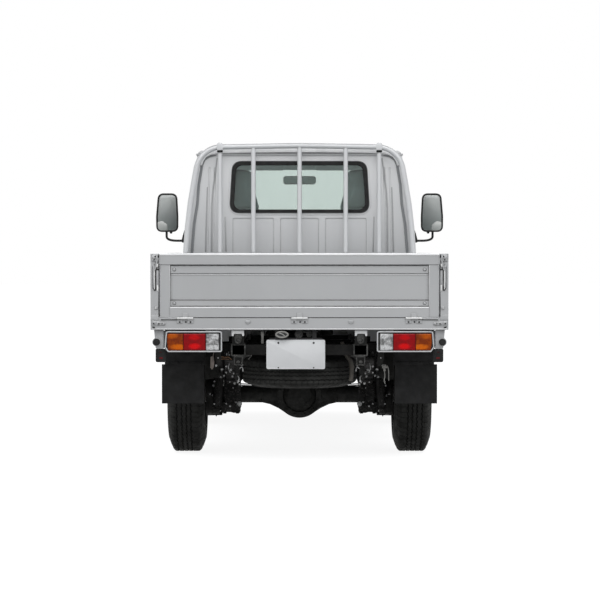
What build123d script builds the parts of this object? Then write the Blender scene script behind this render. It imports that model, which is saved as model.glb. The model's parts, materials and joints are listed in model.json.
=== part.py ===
from build123d import *
import math
import os

os.makedirs("parts", exist_ok=True)

# Light cab-over truck with a drop-side load bed, in millimetres.
# +X is the truck's right, +Y forward, +Z up; the ground is z 0 and x 0 the middle.

# ---- whole truck
TAIL_Y = -2125.0  # outer face of the closed tailgate
REAR_AXLE_Y = -1235.0
WHEELBASE = 2220.0
FRONT_AXLE_Y = REAR_AXLE_Y + WHEELBASE
FIT = 0.3  # clearance where one part rests on or in another
SWING = 5.5  # clearance round a gate or door that swings

# ---- load bed
BED_HALF = 837.5  # outer face of the side gates
SIDE_WALL = 46.5  # side gate thickness at its posts
SIDE_PANEL = 30.0
GATE_WALL = 30.0
GATE_TOP = 1193.0
GATE_BOTTOM = 835.5
DECK_Z = 830.0
DECK_T = 30.0
SILL_Z = 765.0
SILL_T = 26.0
FLAP_Y = -1850.0
FLOOR_RIB_STEP = 165.0
LOAD_HALF = 785.0  # half width of the flat floor between the gates
BED_FRONT_Y = 330.0
TAIL_HALF = BED_HALF - SIDE_WALL - SWING
TAIL_STILE = 57.0
TAIL_RAIL = 61.0
HINGE_Z = 829.0
HINGE_R = 6.0
HINGE_KNUCKLE = 30.0
TAIL_HINGES_X = (-643.0, 0.0, 643.0)
SIDE_HINGES_Y = (-1850.0, -1235.0, -620.0, -5.0)

# ---- guard behind the cab
HOOP_Y = 325.0
HOOP_R = 19.0
HOOP_TOP, HOOP_CROWN = 1927.0, 12.0
HOOP_CORNER = 176.0
HOOP_OUTLINE = ((788.0, 1199.0), (777.0, 1362.0), (758.0, 1524.0), (731.0, 1687.0))
HOOP_CORNER_X = 690.0
GUARD_BARS = ((0.0, 15.5), (312.0, 15.5), (-312.0, 15.5), (538.0, 15.0), (-538.0, 15.0))
HEADBOARD_TOP = 1193.0

# ---- wheels
REAR_R, REAR_W, REAR_X = 342.0, 222.0, 673.0
FRONT_R, FRONT_W, FRONT_X = 330.0, 174.0, 735.0
SPARE_W = 184.0
BEAD_R, LIP = 168.0, 13.0
BEAD_SHARE = 0.76  # of a tyre's width between its rim flanges
SPARE_Y, SPARE_Z = -1735.0, 516.0
SPARE_HUB_Z = SPARE_Z - 30.0
CARRIER_R = 10.0
HUB_R = 46.0
BOLT_CIRCLE_R = 57.15
DRUM_R = 128.0

# ---- chassis
RAIL_X, RAIL_W, RAIL_T = 345.0, 80.0, 5.0
RAIL_REAR_Z = (615.0, 683.0)
RAIL_FRONT_Z = (470.0, 580.0)
RAIL_KICK_Y = (-700.0, -400.0)
RAIL_Y = (-2090.0, 1900.0)
AXLE_Z_REAR = REAR_R
AXLE_Z_FRONT = FRONT_R
AXLE_TUBE_R = 50.0
BANJO_R = 128.0
SPRING_X, SPRING_W = 405.0, 60.0
SPRING_Z = AXLE_Z_REAR + 62 + FIT
SPRING_RISE = 6.2e-4  # camber of a leaf, per mm of reach squared
EYE_Z = SPRING_Z + 25 + 500 ** 2 * SPRING_RISE
EYE_PIN_R = 8.0
SHOCK_X, SHOCK_FOOT, SHOCK_EYE = 490.0, 120.0, 16.0
TIE_HOLE_R, TIE_HOLE_Z = 9.0, 705.0

# ---- cab
CAB_BACK_Y = 405.0
CAB_WALL = 30.0
DOOR_WALL = 62.0
FLOOR_T = 30.0
SEAT_BASE_Z = 900.0
FOOT_Z = 611.0
ARCH_R = 400.0
ARCH_IN_X = 440.0
CAB_FRONT_Y = 2105.0
CAB_SECTION = ((790.0, 380.0), (813.0, 860.0), (789.0, 1220.0), (757.0, 1524.0), (690.0, 1887.0))
CAB_SECTION_RADII = (12, 1500, 4000, 3000, 40)
CAB_KEEL_Z = 380.0
ROOF_EDGE_Z, ROOF_Z = 1887.0, 1965.0
CAB_SIDE = ((CAB_BACK_Y, 480), (CAB_BACK_Y, ROOF_EDGE_Z), (560, 1930), (950, ROOF_Z), (1500, 1950),
            (1700, 1880), (2065, 1130), (CAB_FRONT_Y, 1000), (CAB_FRONT_Y, 420),
            (2060, CAB_KEEL_Z), (1385, CAB_KEEL_Z), (610, 470))
CAB_SIDE_RADII = (0, 20, 200, 300, 150, 50, 100, 60, 30, 20, 0, 0)
CAB_HALF, CAB_BOW = 814.0, 50.0
CAB_PLAN_RADII = (60, 60, 240, 5000, 240)
SEAL_W = 24.0
GUTTER = 8.0
BACK_GROOVES = ((575.0, 601.0), (613.0, 643.0))  # x at the top and low ends
GROOVE_R, GROOVE_Y = 9.0, CAB_BACK_Y - 5.0
GLASS_T = 5.0
DOOR_GAP = 5.5
DOOR_FRONT_Y = 1735.0
DOOR_HINGE_X, DOOR_HINGE_Y = 821.5, DOOR_FRONT_Y + DOOR_GAP / 2
DOOR_HINGES_Z = (720.0, 1080.0)
DOOR_KNUCKLE_R = 6.5
BUMPER_T = 32.0
LAMP_PROUD = 14.0
GRILLE = ((-390, 720), (-390, 860), (390, 860), (390, 720))
GRILLE_DEPTH = 14.0
HEADLAMP = ((440, 712), (440, 868), (760, 868), (760, 712))
INDICATOR = ((560, 470), (560, 520), (740, 520), (740, 470))
KINGPIN_X, BACKPLATE_R = 610.0, 89.0
ARM_LOW_Z, ARM_HIGH_Z = 235.0, 482.0
MIRROR_Y = 1625.0
DRIVER_X = 420.0
COLUMN_LEAN = math.radians(35)
COLUMN_LONG, COLUMN_R = 540.0, 24.0


def block(x, y, z, mode=Mode.ADD):
    """A box from three (low, high) pairs."""
    low, high = (x[0], y[0], z[0]), (x[1], y[1], z[1])
    with Locations(tuple((a + b) / 2 for a, b in zip(low, high))):
        Box(*(b - a for a, b in zip(low, high)), mode=mode)


def prism(axis, points, low, high, radius=0.0, grow=0.0):
    """A closed outline pushed along one axis from low to high, its corners rounded."""
    planes = {"x": Plane.YZ.offset(low), "y": Plane.XZ.offset(-high), "z": Plane.XY.offset(low)}
    with BuildPart() as solid:
        with BuildSketch(planes[axis]):
            with BuildLine():
                FilletPolyline(*points, radius=radius, close=True)
            make_face()
            if grow:
                offset(amount=grow, kind=Kind.INTERSECTION)
        extrude(amount=high - low, dir={"x": (1, 0, 0), "y": (0, -1, 0), "z": (0, 0, 1)}[axis])
    return solid.part


def save(solid, label):
    solid.label = label
    export_step(solid, f"parts/{label}.step")


def tyre(radius, width):
    """A tyre round X: round shoulders, bulged sidewalls, flat bead faces and a hollow inside."""
    half = width / 2
    outside = [(0.6 * half, radius), (0.8 * half, radius - 22), (0.93 * half, radius - 58),
               (0.985 * half, radius - 88), (half, radius - 118), (0.95 * half, BEAD_R + LIP + 26),
               (BEAD_SHARE * half, BEAD_R + LIP + 3), (BEAD_SHARE * half, BEAD_R), (0.6 * half, BEAD_R),
               (0.82 * half, radius - 110), (0.6 * half, radius - 26)]
    with BuildPart() as solid:
        with BuildSketch(Plane.XZ):
            with BuildLine():
                Polyline(*outside, *((-x, r) for x, r in reversed(outside)), close=True)
            make_face()
        revolve(axis=Axis.X)
    return solid.part


def rim(width, disc_x, hub_in):
    """A pressed steel wheel round X, its disc at disc_x and its hub reaching in to hub_in."""
    half, seat = width / 2, BEAD_R - FIT
    lip, well = BEAD_R + LIP, BEAD_R - 24
    barrel = [(half + 5, lip), (half, lip), (half, seat), (half - 24, seat), (half - 40, well)]
    inside = [(half + 5, lip), (half + 5, seat - 6), (half - 22, seat - 6), (half - 38, well - 6)]
    with BuildPart() as solid:
        with BuildSketch(Plane.XZ):
            with BuildLine():
                Polyline(*inside[:0:-1], *barrel, *((-x, r) for x, r in reversed(barrel)),
                         *((-x, r) for x, r in inside[1:]), close=True)
            make_face()
        revolve(axis=Axis.X)
        with BuildSketch(Plane.XZ):
            with BuildLine():
                Polyline((hub_in, 0), (hub_in, HUB_R), (disc_x - 8, HUB_R), (disc_x - 8, 92),
                         (disc_x + 10, 112), (disc_x - 18, well - 1), (disc_x + 2, well - 1),
                         (disc_x + 20, 112), (disc_x, 88), (disc_x, 34), (disc_x + 26, 30),
                         (disc_x + 26, 0), close=True)
            make_face()
        revolve(axis=Axis.X)
        with BuildSketch(Plane.YZ.offset(disc_x - 30)):
            with PolarLocations(BOLT_CIRCLE_R + 68, 10):
                Circle(11)
        extrude(amount=60, mode=Mode.SUBTRACT)
    return solid.part


def turned(solid, side, x, y, z):
    """A wheel solid stood at one side of the truck: side 1 is right, -1 left."""
    if side < 0:
        solid = solid.mirror(Plane.YZ)
    return solid.moved(Location((side * x, y, z)))


# ================================================================ chassis
rail_low = ((RAIL_Y[0], RAIL_REAR_Z[0]), (RAIL_KICK_Y[0], RAIL_REAR_Z[0]),
            (RAIL_KICK_Y[1], RAIL_FRONT_Z[0]), (RAIL_Y[1], RAIL_FRONT_Z[0]))
rail_high = ((RAIL_Y[1], RAIL_FRONT_Z[1]), (RAIL_KICK_Y[1], RAIL_FRONT_Z[1]),
             (RAIL_KICK_Y[0], RAIL_REAR_Z[1]), (RAIL_Y[0], RAIL_REAR_Z[1]))
rail_outer = prism("x", rail_low + rail_high, RAIL_X - RAIL_W / 2, RAIL_X + RAIL_W / 2)
rail_bore = prism("x", rail_low + rail_high, RAIL_X - RAIL_W / 2 + RAIL_T,
                  RAIL_X + RAIL_W / 2 - RAIL_T, grow=-RAIL_T)
CROSS_MEMBERS = ((-2050.0, 620.0, 678.0), (SPARE_Y, 620.0, 678.0), (-1370.0, 620.0, 678.0),
                 (-720.0, 620.0, 678.0), (150.0, 480.0, 570.0), (1800.0, 480.0, 570.0))
CROSS_W = 60.0
RAIL_INNER_X = RAIL_X - RAIL_W / 2 + 1
with BuildPart() as chassis_frame:
    add(rail_outer)
    add(rail_bore, mode=Mode.SUBTRACT)
    block((RAIL_X - RAIL_W / 2 + RAIL_T, RAIL_X + RAIL_W / 2 - RAIL_T),
          (RAIL_Y[0] - 1, RAIL_Y[0] + 2 * RAIL_T),
          (RAIL_REAR_Z[0] + RAIL_T, RAIL_REAR_Z[1] - RAIL_T), mode=Mode.SUBTRACT)
    # spring hangers under the rails, their faces against the rail's outer side
    for y in (REAR_AXLE_Y - 500, REAR_AXLE_Y + 500):
        block((RAIL_X + RAIL_W / 2 - 1, SPRING_X + SPRING_W / 2 + 8), (y - 35, y + 35), (628, 672))
        for x in (SPRING_X - SPRING_W / 2 - 7, SPRING_X + SPRING_W / 2 + 1):
            block((x, x + 6), (y - 25, y + 25), (560, 640))
        with Locations(Location((SPRING_X, y, EYE_Z), (0, 90, 0))):
            Cylinder(EYE_PIN_R + FIT, SPRING_W + 30, mode=Mode.SUBTRACT)
    # tie-down plate behind the rail end
    block((311.5, 380.5), (RAIL_Y[0] - 8, RAIL_Y[0] + 20), (RAIL_REAR_Z[1] - 1, 756))
    block((323.5, 368.5), (RAIL_Y[0] - 8, RAIL_Y[0]), (686, 735))
    block((323.5, 368.5), (RAIL_Y[0], RAIL_Y[0] + 30), (562, RAIL_REAR_Z[0] + 1))
    with Locations(Location((346, RAIL_Y[0] - 4, TIE_HOLE_Z), (90, 0, 0))):
        Cylinder(TIE_HOLE_R, 60, mode=Mode.SUBTRACT)
    mirror(about=Plane.YZ)
    for y, low, high in CROSS_MEMBERS:
        block((-RAIL_INNER_X, RAIL_INNER_X), (y - CROSS_W / 2, y + CROSS_W / 2), (low, high))
    # spare wheel carrier: a rod through the wheel's hub with a plate under it
    with Locations((0, SPARE_Y, (SPARE_HUB_Z - FIT + 621) / 2)):
        Cylinder(CARRIER_R, 621 - SPARE_HUB_Z + FIT)
    with Locations((0, SPARE_Y, SPARE_HUB_Z - FIT - 4)):
        Cylinder(62, 8)
save(chassis_frame.part, "chassis_frame")

with BuildPart() as rear_axle:
    with BuildSketch(Plane.XZ):
        with BuildLine():
            Polyline((0, 0), (560, 0), (560, AXLE_TUBE_R), (215, AXLE_TUBE_R), (165, 58), (120, 76),
                     (80, 102), (0, 112), close=True)
        make_face()
    revolve(axis=Axis.X)
    mirror(about=Plane.YZ)
    with BuildSketch(Plane.XY):
        with BuildLine():
            Polyline((0, -142), (70, -135), (112, -80), (BANJO_R, 0), (112, 80), (60, 150), (45, 230),
                     (0, 230), close=True)
        make_face()
    revolve(axis=Axis.Y)
    for side in (-1, 1):
        with Locations(Location((side * 556, 0, 0), (0, 90, 0))):
            Cylinder(DRUM_R, 8)
        # spring seat over the tube, clamp plate and bolts under it
        block((side * SPRING_X - 50, side * SPRING_X + 50), (-60, 60), (30, 62))
        block((side * SPRING_X - 52, side * SPRING_X + 52), (-60, 60), (-78, -50))
        for y in (-50, 50):
            for x in (-42, 42):
                with Locations((side * SPRING_X + x, y, 10)):
                    Cylinder(6, 236)
        block((side * SHOCK_X - 25, side * SHOCK_X + 25), (-95, -15), (-SHOCK_FOOT, 8 - SHOCK_FOOT))
        block(sorted((side * (SHOCK_X - 10), side * (SHOCK_X + 58))), (-12, 12), (-SHOCK_FOOT, -30))
        block((side * SHOCK_X - 25, side * SHOCK_X + 25), (-40, -15), (-SHOCK_FOOT, -30))
rear_axle_solid = rear_axle.part.moved(Location((0, REAR_AXLE_Y, AXLE_Z_REAR)))
save(rear_axle_solid, "rear_axle")

with BuildPart() as leaf_springs:
    for level, reach in enumerate((500.0, 380.0, 250.0)):
        rise = 10.0 * (2 - level)
        with BuildSketch(Plane.YZ.offset(SPRING_X - SPRING_W / 2)):
            with BuildLine():
                lower = ThreePointArc((REAR_AXLE_Y - reach, SPRING_Z + rise + reach ** 2 * SPRING_RISE),
                                      (REAR_AXLE_Y, SPRING_Z + rise),
                                      (REAR_AXLE_Y + reach, SPRING_Z + rise + reach ** 2 * SPRING_RISE))
                upper = ThreePointArc(lower @ 1 + Vector(0, 10.5), (REAR_AXLE_Y, SPRING_Z + rise + 10.5),
                                      lower @ 0 + Vector(0, 10.5))
                Line(lower @ 1, upper @ 0)
                Line(upper @ 1, lower @ 0)
            make_face()
        extrude(amount=SPRING_W)
    for y in (REAR_AXLE_Y - 500, REAR_AXLE_Y + 500):
        with Locations(Location((SPRING_X, y, EYE_Z), (0, 90, 0))):
            Cylinder(17, SPRING_W)
            Cylinder(EYE_PIN_R, SPRING_W + 24)
    mirror(about=Plane.YZ)
save(leaf_springs.part, "leaf_springs")

with BuildPart() as shock_absorbers:
    for side in (-1, 1):
        low = Vector(side * SHOCK_X, REAR_AXLE_Y - 75, AXLE_Z_REAR - SHOCK_FOOT + 8 + SHOCK_EYE + FIT)
        high = Vector(side * 455, REAR_AXLE_Y - 210, 655)
        for radius, start, end in ((12.0, 0.0, 1.0), (19.0, 0.06, 0.5), (23.0, 0.48, 0.92)):
            a, b = low + (high - low) * start, low + (high - low) * end
            with BuildSketch(Plane(origin=a, z_dir=(b - a).normalized())):
                Circle(radius)
            extrude(amount=(b - a).length)
        with Locations(Location((side * 431, REAR_AXLE_Y - 210, 655), (0, 90, 0))):
            Cylinder(SHOCK_EYE, 91.4)
        with Locations(Location(low, (0, 90, 0))):
            Cylinder(SHOCK_EYE, 40)
save(shock_absorbers.part, "shock_absorbers")

SHAFT_REAR = Vector(0, REAR_AXLE_Y + 230 + FIT, AXLE_Z_REAR)
GEARBOX_END_Y = 262.0
SHAFT_FRONT = Vector(0, GEARBOX_END_Y - FIT, 430)
YOKE = Vector(0, 30, 0)
with BuildPart() as propeller_shaft:
    span = SHAFT_FRONT - SHAFT_REAR
    with BuildSketch(Plane(origin=SHAFT_REAR + YOKE, z_dir=span.normalized())):
        Circle(32)
    extrude(amount=span.length - 2 * YOKE.Y)
    for point in (SHAFT_REAR + YOKE, SHAFT_FRONT - YOKE):
        with Locations(Location(point, (90, 0, 0))):
            Cylinder(45, 60)
save(propeller_shaft.part, "propeller_shaft")

with BuildPart() as engine:
    block((-230, 230), (620, 1300), (475, 850))
    with BuildSketch(Plane.XZ.offset(-625)):
        with Locations((0, 590)):
            Rectangle(300, 220)
    with BuildSketch(Plane.XZ.offset(-GEARBOX_END_Y)):
        with Locations((0, 430)):
            Rectangle(130, 120)
    loft()
    block((-RAIL_X + RAIL_W / 2 + FIT, RAIL_X - RAIL_W / 2 - FIT), (1150, 1230), (500, 540))
save(engine.part, "engine")

with BuildPart() as fuel_tank:
    block((430, 760), (-480, 130), (330, 600))
    fillet(fuel_tank.edges().filter_by(Axis.Y), 40)
    for y in (-380, 40):
        block((RAIL_X + RAIL_W / 2 + FIT, 770), (y - 15, y + 15), (596, 606))
        block((RAIL_X + RAIL_W / 2 + FIT, 440), (y - 15, y + 15), (480, 600))
save(fuel_tank.part, "fuel_tank")

with BuildPart() as exhaust:
    with BuildLine():
        FilletPolyline((-150, 700, 475 - FIT), (-150, 700, 410),
                       (-520, 420, 400), (-520, -560, 400), radius=40)
    with BuildSketch(Plane(origin=(-150, 700, 475 - FIT), z_dir=(0, 0, -1))):
        Circle(22)
    sweep()
    with Locations(Location((-520, -100, 400), (90, 0, 0))):
        Cylinder(85, 520)
    for y in (-300, 100):
        block((-528, -RAIL_X - RAIL_W / 2 - FIT), (y - 8, y + 8), (480, 500))
save(exhaust.part, "exhaust")

spare_place = Location((0, SPARE_Y, SPARE_Z), (0, -90, 0))
save(tyre(FRONT_R, SPARE_W).moved(spare_place), "spare_tyre")
with BuildPart() as spare_rim:
    add(rim(SPARE_W * BEAD_SHARE + 2 * FIT, 20.0, SPARE_HUB_Z - SPARE_Z).moved(spare_place))
    with Locations((0, SPARE_Y, SPARE_Z)):
        Cylinder(CARRIER_R + FIT, SPARE_W, mode=Mode.SUBTRACT)
save(spare_rim.part, "spare_rim")

with BuildPart() as front_suspension:
    block((-420, 420), (FRONT_AXLE_Y - 60, FRONT_AXLE_Y + 60), (400, RAIL_FRONT_Z[0] - FIT))
    for side in (-1, 1):
        inner, outer = sorted((side * 300, side * (KINGPIN_X + 18)))
        block((inner, outer), (FRONT_AXLE_Y - 22, FRONT_AXLE_Y + 22), (205, ARM_LOW_Z))
        block(sorted((side * 300, side * 340)), (FRONT_AXLE_Y - 60, FRONT_AXLE_Y + 60), (205, 402))
        block(sorted((side * 400, side * (KINGPIN_X + 18))),
              (FRONT_AXLE_Y - 20, FRONT_AXLE_Y + 20), (ARM_HIGH_Z, 504))
        block(sorted((side * (RAIL_X + RAIL_W / 2 + FIT), side * 420)),
              (FRONT_AXLE_Y - 60, FRONT_AXLE_Y + 60), (400, 560))
save(front_suspension.part, "front_suspension")

for side, label in ((-1, "left"), (1, "right")):
    with BuildPart() as knuckle:
        with Locations((side * KINGPIN_X, FRONT_AXLE_Y, (ARM_LOW_Z + ARM_HIGH_Z) / 2)):
            Cylinder(22, ARM_HIGH_Z - ARM_LOW_Z - 2 * FIT)
        with Locations(Location((side * (KINGPIN_X + 24), FRONT_AXLE_Y, AXLE_Z_FRONT), (0, 90, 0))):
            Cylinder(BACKPLATE_R, 8)
        block(sorted((side * (KINGPIN_X - 60), side * (KINGPIN_X - 15))),
              (FRONT_AXLE_Y - 130, FRONT_AXLE_Y), (300, 320))
    save(knuckle.part, f"knuckle_{label}")
    save(turned(tyre(REAR_R, REAR_W), side, REAR_X, REAR_AXLE_Y, AXLE_Z_REAR), f"rear_tyre_{label}")
    save(turned(rim(REAR_W * BEAD_SHARE + 2 * FIT, 30.0, 560 + FIT - REAR_X),
                side, REAR_X, REAR_AXLE_Y, AXLE_Z_REAR), f"rear_rim_{label}")
    save(turned(tyre(FRONT_R, FRONT_W), side, FRONT_X, FRONT_AXLE_Y, AXLE_Z_FRONT), f"front_tyre_{label}")
    save(turned(rim(FRONT_W * BEAD_SHARE + 2 * FIT, 34.0, KINGPIN_X + 28 + FIT - FRONT_X),
                side, FRONT_X, FRONT_AXLE_Y, AXLE_Z_FRONT), f"front_rim_{label}")

# ================================================================ load bed
KNUCKLE_STEP = HINGE_KNUCKLE + 2 * FIT
with BuildPart() as fixed_half:
    for x in (-KNUCKLE_STEP, KNUCKLE_STEP):
        with Locations(Location((x, -HINGE_R, 0), (0, 90, 0))):
            Cylinder(HINGE_R, HINGE_KNUCKLE)
        block((x - HINGE_KNUCKLE / 2, x + HINGE_KNUCKLE / 2), (-3, 0), (-28, 0))
with BuildPart() as moving_half:
    with Locations(Location((0, -HINGE_R, 0), (0, 90, 0))):
        Cylinder(HINGE_R, HINGE_KNUCKLE)
    block((-HINGE_KNUCKLE / 2, HINGE_KNUCKLE / 2), (-3, 0), (0, 30))
    block((-HINGE_KNUCKLE / 2, HINGE_KNUCKLE / 2), (-3, 2), (GATE_BOTTOM - HINGE_Z, 30))
tail_places = [Location((x, TAIL_Y, HINGE_Z)) for x in TAIL_HINGES_X]
side_places = {side: [Location((side * BED_HALF, y, HINGE_Z), (0, 0, side * 90)) for y in SIDE_HINGES_Y]
               for side in (-1, 1)}
every_place = tail_places + side_places[-1] + side_places[1]

with BuildPart() as bed_deck:
    block((-BED_HALF + SILL_T, BED_HALF - SILL_T), (TAIL_Y + SILL_T, BED_FRONT_Y), (DECK_Z - DECK_T, DECK_Z))
    for side in (-1, 1):
        block(sorted((side * (BED_HALF - SILL_T - 1), side * BED_HALF)),
              (TAIL_Y, BED_FRONT_Y), (SILL_Z, DECK_Z))
    block((-BED_HALF, BED_HALF), (TAIL_Y, TAIL_Y + SILL_T + 1), (SILL_Z, DECK_Z))
    for y in (FLAP_Y, -1450, -1000, -560, -120, 240):
        block((-BED_HALF + 20, BED_HALF - 20), (y - 25, y + 25), (SILL_Z, DECK_Z - DECK_T + 1))
    bearer = ((TAIL_Y + 60, RAIL_REAR_Z[1] + FIT), (RAIL_KICK_Y[0], RAIL_REAR_Z[1] + FIT),
              (RAIL_KICK_Y[1], RAIL_FRONT_Z[1] + FIT), (BED_FRONT_Y, RAIL_FRONT_Z[1] + FIT),
              (BED_FRONT_Y, SILL_Z + 1), (TAIL_Y + 60, SILL_Z + 1))
for side in (-1, 1):
    bearer_solid = prism("x", bearer, side * RAIL_X - 22, side * RAIL_X + 22)
    with bed_deck:
        add(bearer_solid)
floor_x, floor_y = (-LOAD_HALF, LOAD_HALF), (TAIL_Y + GATE_WALL + SWING, HOOP_Y - 40)
with BuildPart() as floor_groove:
    block(floor_x, floor_y, (DECK_Z - 2, DECK_Z + 1))
    block(tuple(x - math.copysign(5, x) for x in floor_x), (floor_y[0] + 5, floor_y[1] - 5),
          (DECK_Z - 3, DECK_Z + 2), mode=Mode.SUBTRACT)
floor_middle = ((floor_y[0] + floor_y[1]) / 2, DECK_Z - 0.5)
with bed_deck:
    add(floor_groove.part, mode=Mode.SUBTRACT)
    with Locations((0, *floor_middle)):
        with GridLocations(FLOOR_RIB_STEP, 1, 9, 1):
            Box(9, floor_y[1] - floor_y[0] - 150, 4, mode=Mode.SUBTRACT)
    with Locations(*every_place):
        add(fixed_half.part)
save(bed_deck.part, "bed_deck")

hoop_right = [(BED_HALF - 49.5 - HOOP_R, 0, DECK_Z + FIT)] + [(x - HOOP_R, 0, z) for x, z in HOOP_OUTLINE]
hoop_path = hoop_right + [(HOOP_CORNER_X - HOOP_R, 0, HOOP_TOP - HOOP_R)]
hoop_path += [(0, 0, HOOP_TOP + HOOP_CROWN - HOOP_R)] + [(-x, y, z) for x, y, z in reversed(hoop_path)]
hoop_path = [(x, HOOP_Y, z) for x, _, z in hoop_path]
with BuildPart() as guard_frame:
    with BuildLine():
        gentle = [0.0] * (len(hoop_right) - 1)
        FilletPolyline(*hoop_path, radius=gentle + [HOOP_CORNER, 8000.0, HOOP_CORNER] + gentle)
    with BuildSketch(Plane.XY.offset(DECK_Z + FIT).move(Location((hoop_path[0][0], HOOP_Y, 0)))):
        Circle(HOOP_R)
    sweep(transition=Transition.RIGHT)
    for x, radius in GUARD_BARS:
        with Locations((x, HOOP_Y, (DECK_Z + FIT + HOOP_TOP - HOOP_R) / 2)):
            Cylinder(radius, HOOP_TOP - HOOP_R - DECK_Z - FIT)
    block((-760, 760), (HOOP_Y - 32, HOOP_Y - 12), (DECK_Z + FIT, HEADBOARD_TOP))
save(guard_frame.part, "guard_frame")

GATE_STEP = 9.0
with BuildPart() as tailgate:
    with BuildSketch(Plane.YZ.offset(-TAIL_HALF + TAIL_STILE)):
        with BuildLine():
            Polyline((TAIL_Y, GATE_TOP), (TAIL_Y, GATE_TOP - TAIL_RAIL),
                     (TAIL_Y + 14, GATE_TOP - TAIL_RAIL - 4),
                     (TAIL_Y + GATE_STEP, 1123), (TAIL_Y + GATE_STEP, 1083), (TAIL_Y + 15, 1078),
                     (TAIL_Y + 15, 934), (TAIL_Y + GATE_STEP, 929), (TAIL_Y + GATE_STEP, 899),
                     (TAIL_Y + 13, 895), (TAIL_Y, 892),
                     (TAIL_Y, GATE_BOTTOM), (TAIL_Y + GATE_WALL, GATE_BOTTOM),
                     (TAIL_Y + GATE_WALL, GATE_TOP), close=True)
        make_face()
    extrude(amount=2 * (TAIL_HALF - TAIL_STILE))
    for side in (-1, 1):
        block(sorted((side * (TAIL_HALF - TAIL_STILE - 1), side * (TAIL_HALF - 2))),
              (TAIL_Y + 3, TAIL_Y + GATE_WALL), (GATE_BOTTOM, GATE_TOP - TAIL_RAIL + 1))
        block(sorted((side * (TAIL_HALF - TAIL_STILE - 1), side * TAIL_HALF)),
              (TAIL_Y, TAIL_Y + GATE_WALL), (GATE_TOP - TAIL_RAIL, GATE_TOP))
    with Locations(*tail_places):
        add(moving_half.part)
save(tailgate.part, "tailgate")

for side, label in ((-1, "left"), (1, "right")):
    with BuildPart() as side_gate:
        block(sorted((side * (BED_HALF - SIDE_PANEL), side * BED_HALF)),
              (TAIL_Y, HOOP_Y - 40), (GATE_BOTTOM, GATE_TOP))
        for y in (TAIL_Y, HOOP_Y - 80):
            block(sorted((side * (BED_HALF - SIDE_WALL), side * BED_HALF)),
                  (y, y + 40), (GATE_BOTTOM, GATE_TOP))
        block(sorted((side * (BED_HALF - 20), side * (BED_HALF + 1))),
              (TAIL_Y + 60, HOOP_Y - 100), (900, 1120), mode=Mode.SUBTRACT)
        block(sorted((side * (BED_HALF - 26), side * (BED_HALF - 12))),
              (TAIL_Y + 50, HOOP_Y - 90), (890, 1130))
        with Locations(*side_places[side]):
            add(moving_half.part)
    save(side_gate.part, f"side_gate_{label}")

# ================================================================ rear lamps and fittings
LAMP_Z = (638.0, 765.0)
LAMP_X = (435.0, 759.0)
LENS_Z = (647.0, 743.0)
LENS_X = (453.0, 527.0, 649.0, 743.0)  # clear, red, amber edges
LAMP_Y = (TAIL_Y + 10, TAIL_Y + 75)
LENS_PROUD = 4.0
PLATE_X, PLATE_Z = -21.0, 624.5
bezel = ((LAMP_X[0], LAMP_Z[0]), (LAMP_X[0], LAMP_Z[1] - FIT), (LAMP_X[1] - 18, LAMP_Z[1] - FIT),
         (LAMP_X[1], LAMP_Z[0] + 38), (LAMP_X[1] - 18, LAMP_Z[0]))
bracket = ((LAMP_X[1] - 40, LAMP_Z[1] - FIT), (820, LAMP_Z[1] - FIT), (811, 656), (LAMP_X[1] - 40, 656))
plates = [(bezel, *LAMP_Y, 7), (bracket, TAIL_Y + 30, TAIL_Y + 38, 0)]
lamp_frames = [prism("y", points, low, high, radius) for points, low, high, radius in plates]
with BuildPart() as lamp_housings:
    for frame in lamp_frames:
        add(frame)
    block(LENS_X[::3], (LAMP_Y[0] - 1, LAMP_Y[0] + 30), LENS_Z, mode=Mode.SUBTRACT)
    mirror(about=Plane.YZ)
    block((PLATE_X - 116, PLATE_X - 38), (TAIL_Y + 2, TAIL_Y + 22 - FIT), (716, SILL_Z - FIT))
save(lamp_housings.part, "lamp_housings")
lens_parts = {}
for label, low, high in (("lens_clear", *LENS_X[:2]),
                         ("lens_red", *LENS_X[1:3]), ("lens_amber", *LENS_X[2:])):
    with BuildPart() as lens:
        block((low + FIT, high - FIT), (LAMP_Y[0] - LENS_PROUD, LAMP_Y[0] + 30 - FIT),
              (LENS_Z[0] + FIT, LENS_Z[1] - FIT))
        mirror(about=Plane.YZ)
    lens_parts[label] = lens.part

with BuildPart() as mud_flaps:
    for side in (-1, 1):
        block(sorted((side * 549, side * 792)), (FLAP_Y - 3, FLAP_Y + 3), (330, 556))
        block(sorted((side * 540, side * 775)), (FLAP_Y - 11, FLAP_Y + 11), (552, SILL_Z - FIT))
        block(sorted((side * 752, side * 812)), (TAIL_Y + 30, TAIL_Y + 58), (580, 656 - FIT))
        with Locations(Location((side * 805, TAIL_Y + 12, 695), (90, 0, 0))):
            Cylinder(19, 36 - 2 * FIT)
save(mud_flaps.part, "mud_flaps")

with BuildPart() as number_plate:
    block((PLATE_X - 165, PLATE_X + 165), (TAIL_Y + 20, TAIL_Y + 22), (PLATE_Z - 82.5, PLATE_Z + 82.5))
    for x in (PLATE_X - 105, PLATE_X + 105):
        block((x - 12, x + 12), (TAIL_Y + 22, TAIL_Y + 26), (660, SILL_Z - FIT))
save(number_plate.part, "number_plate")


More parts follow.
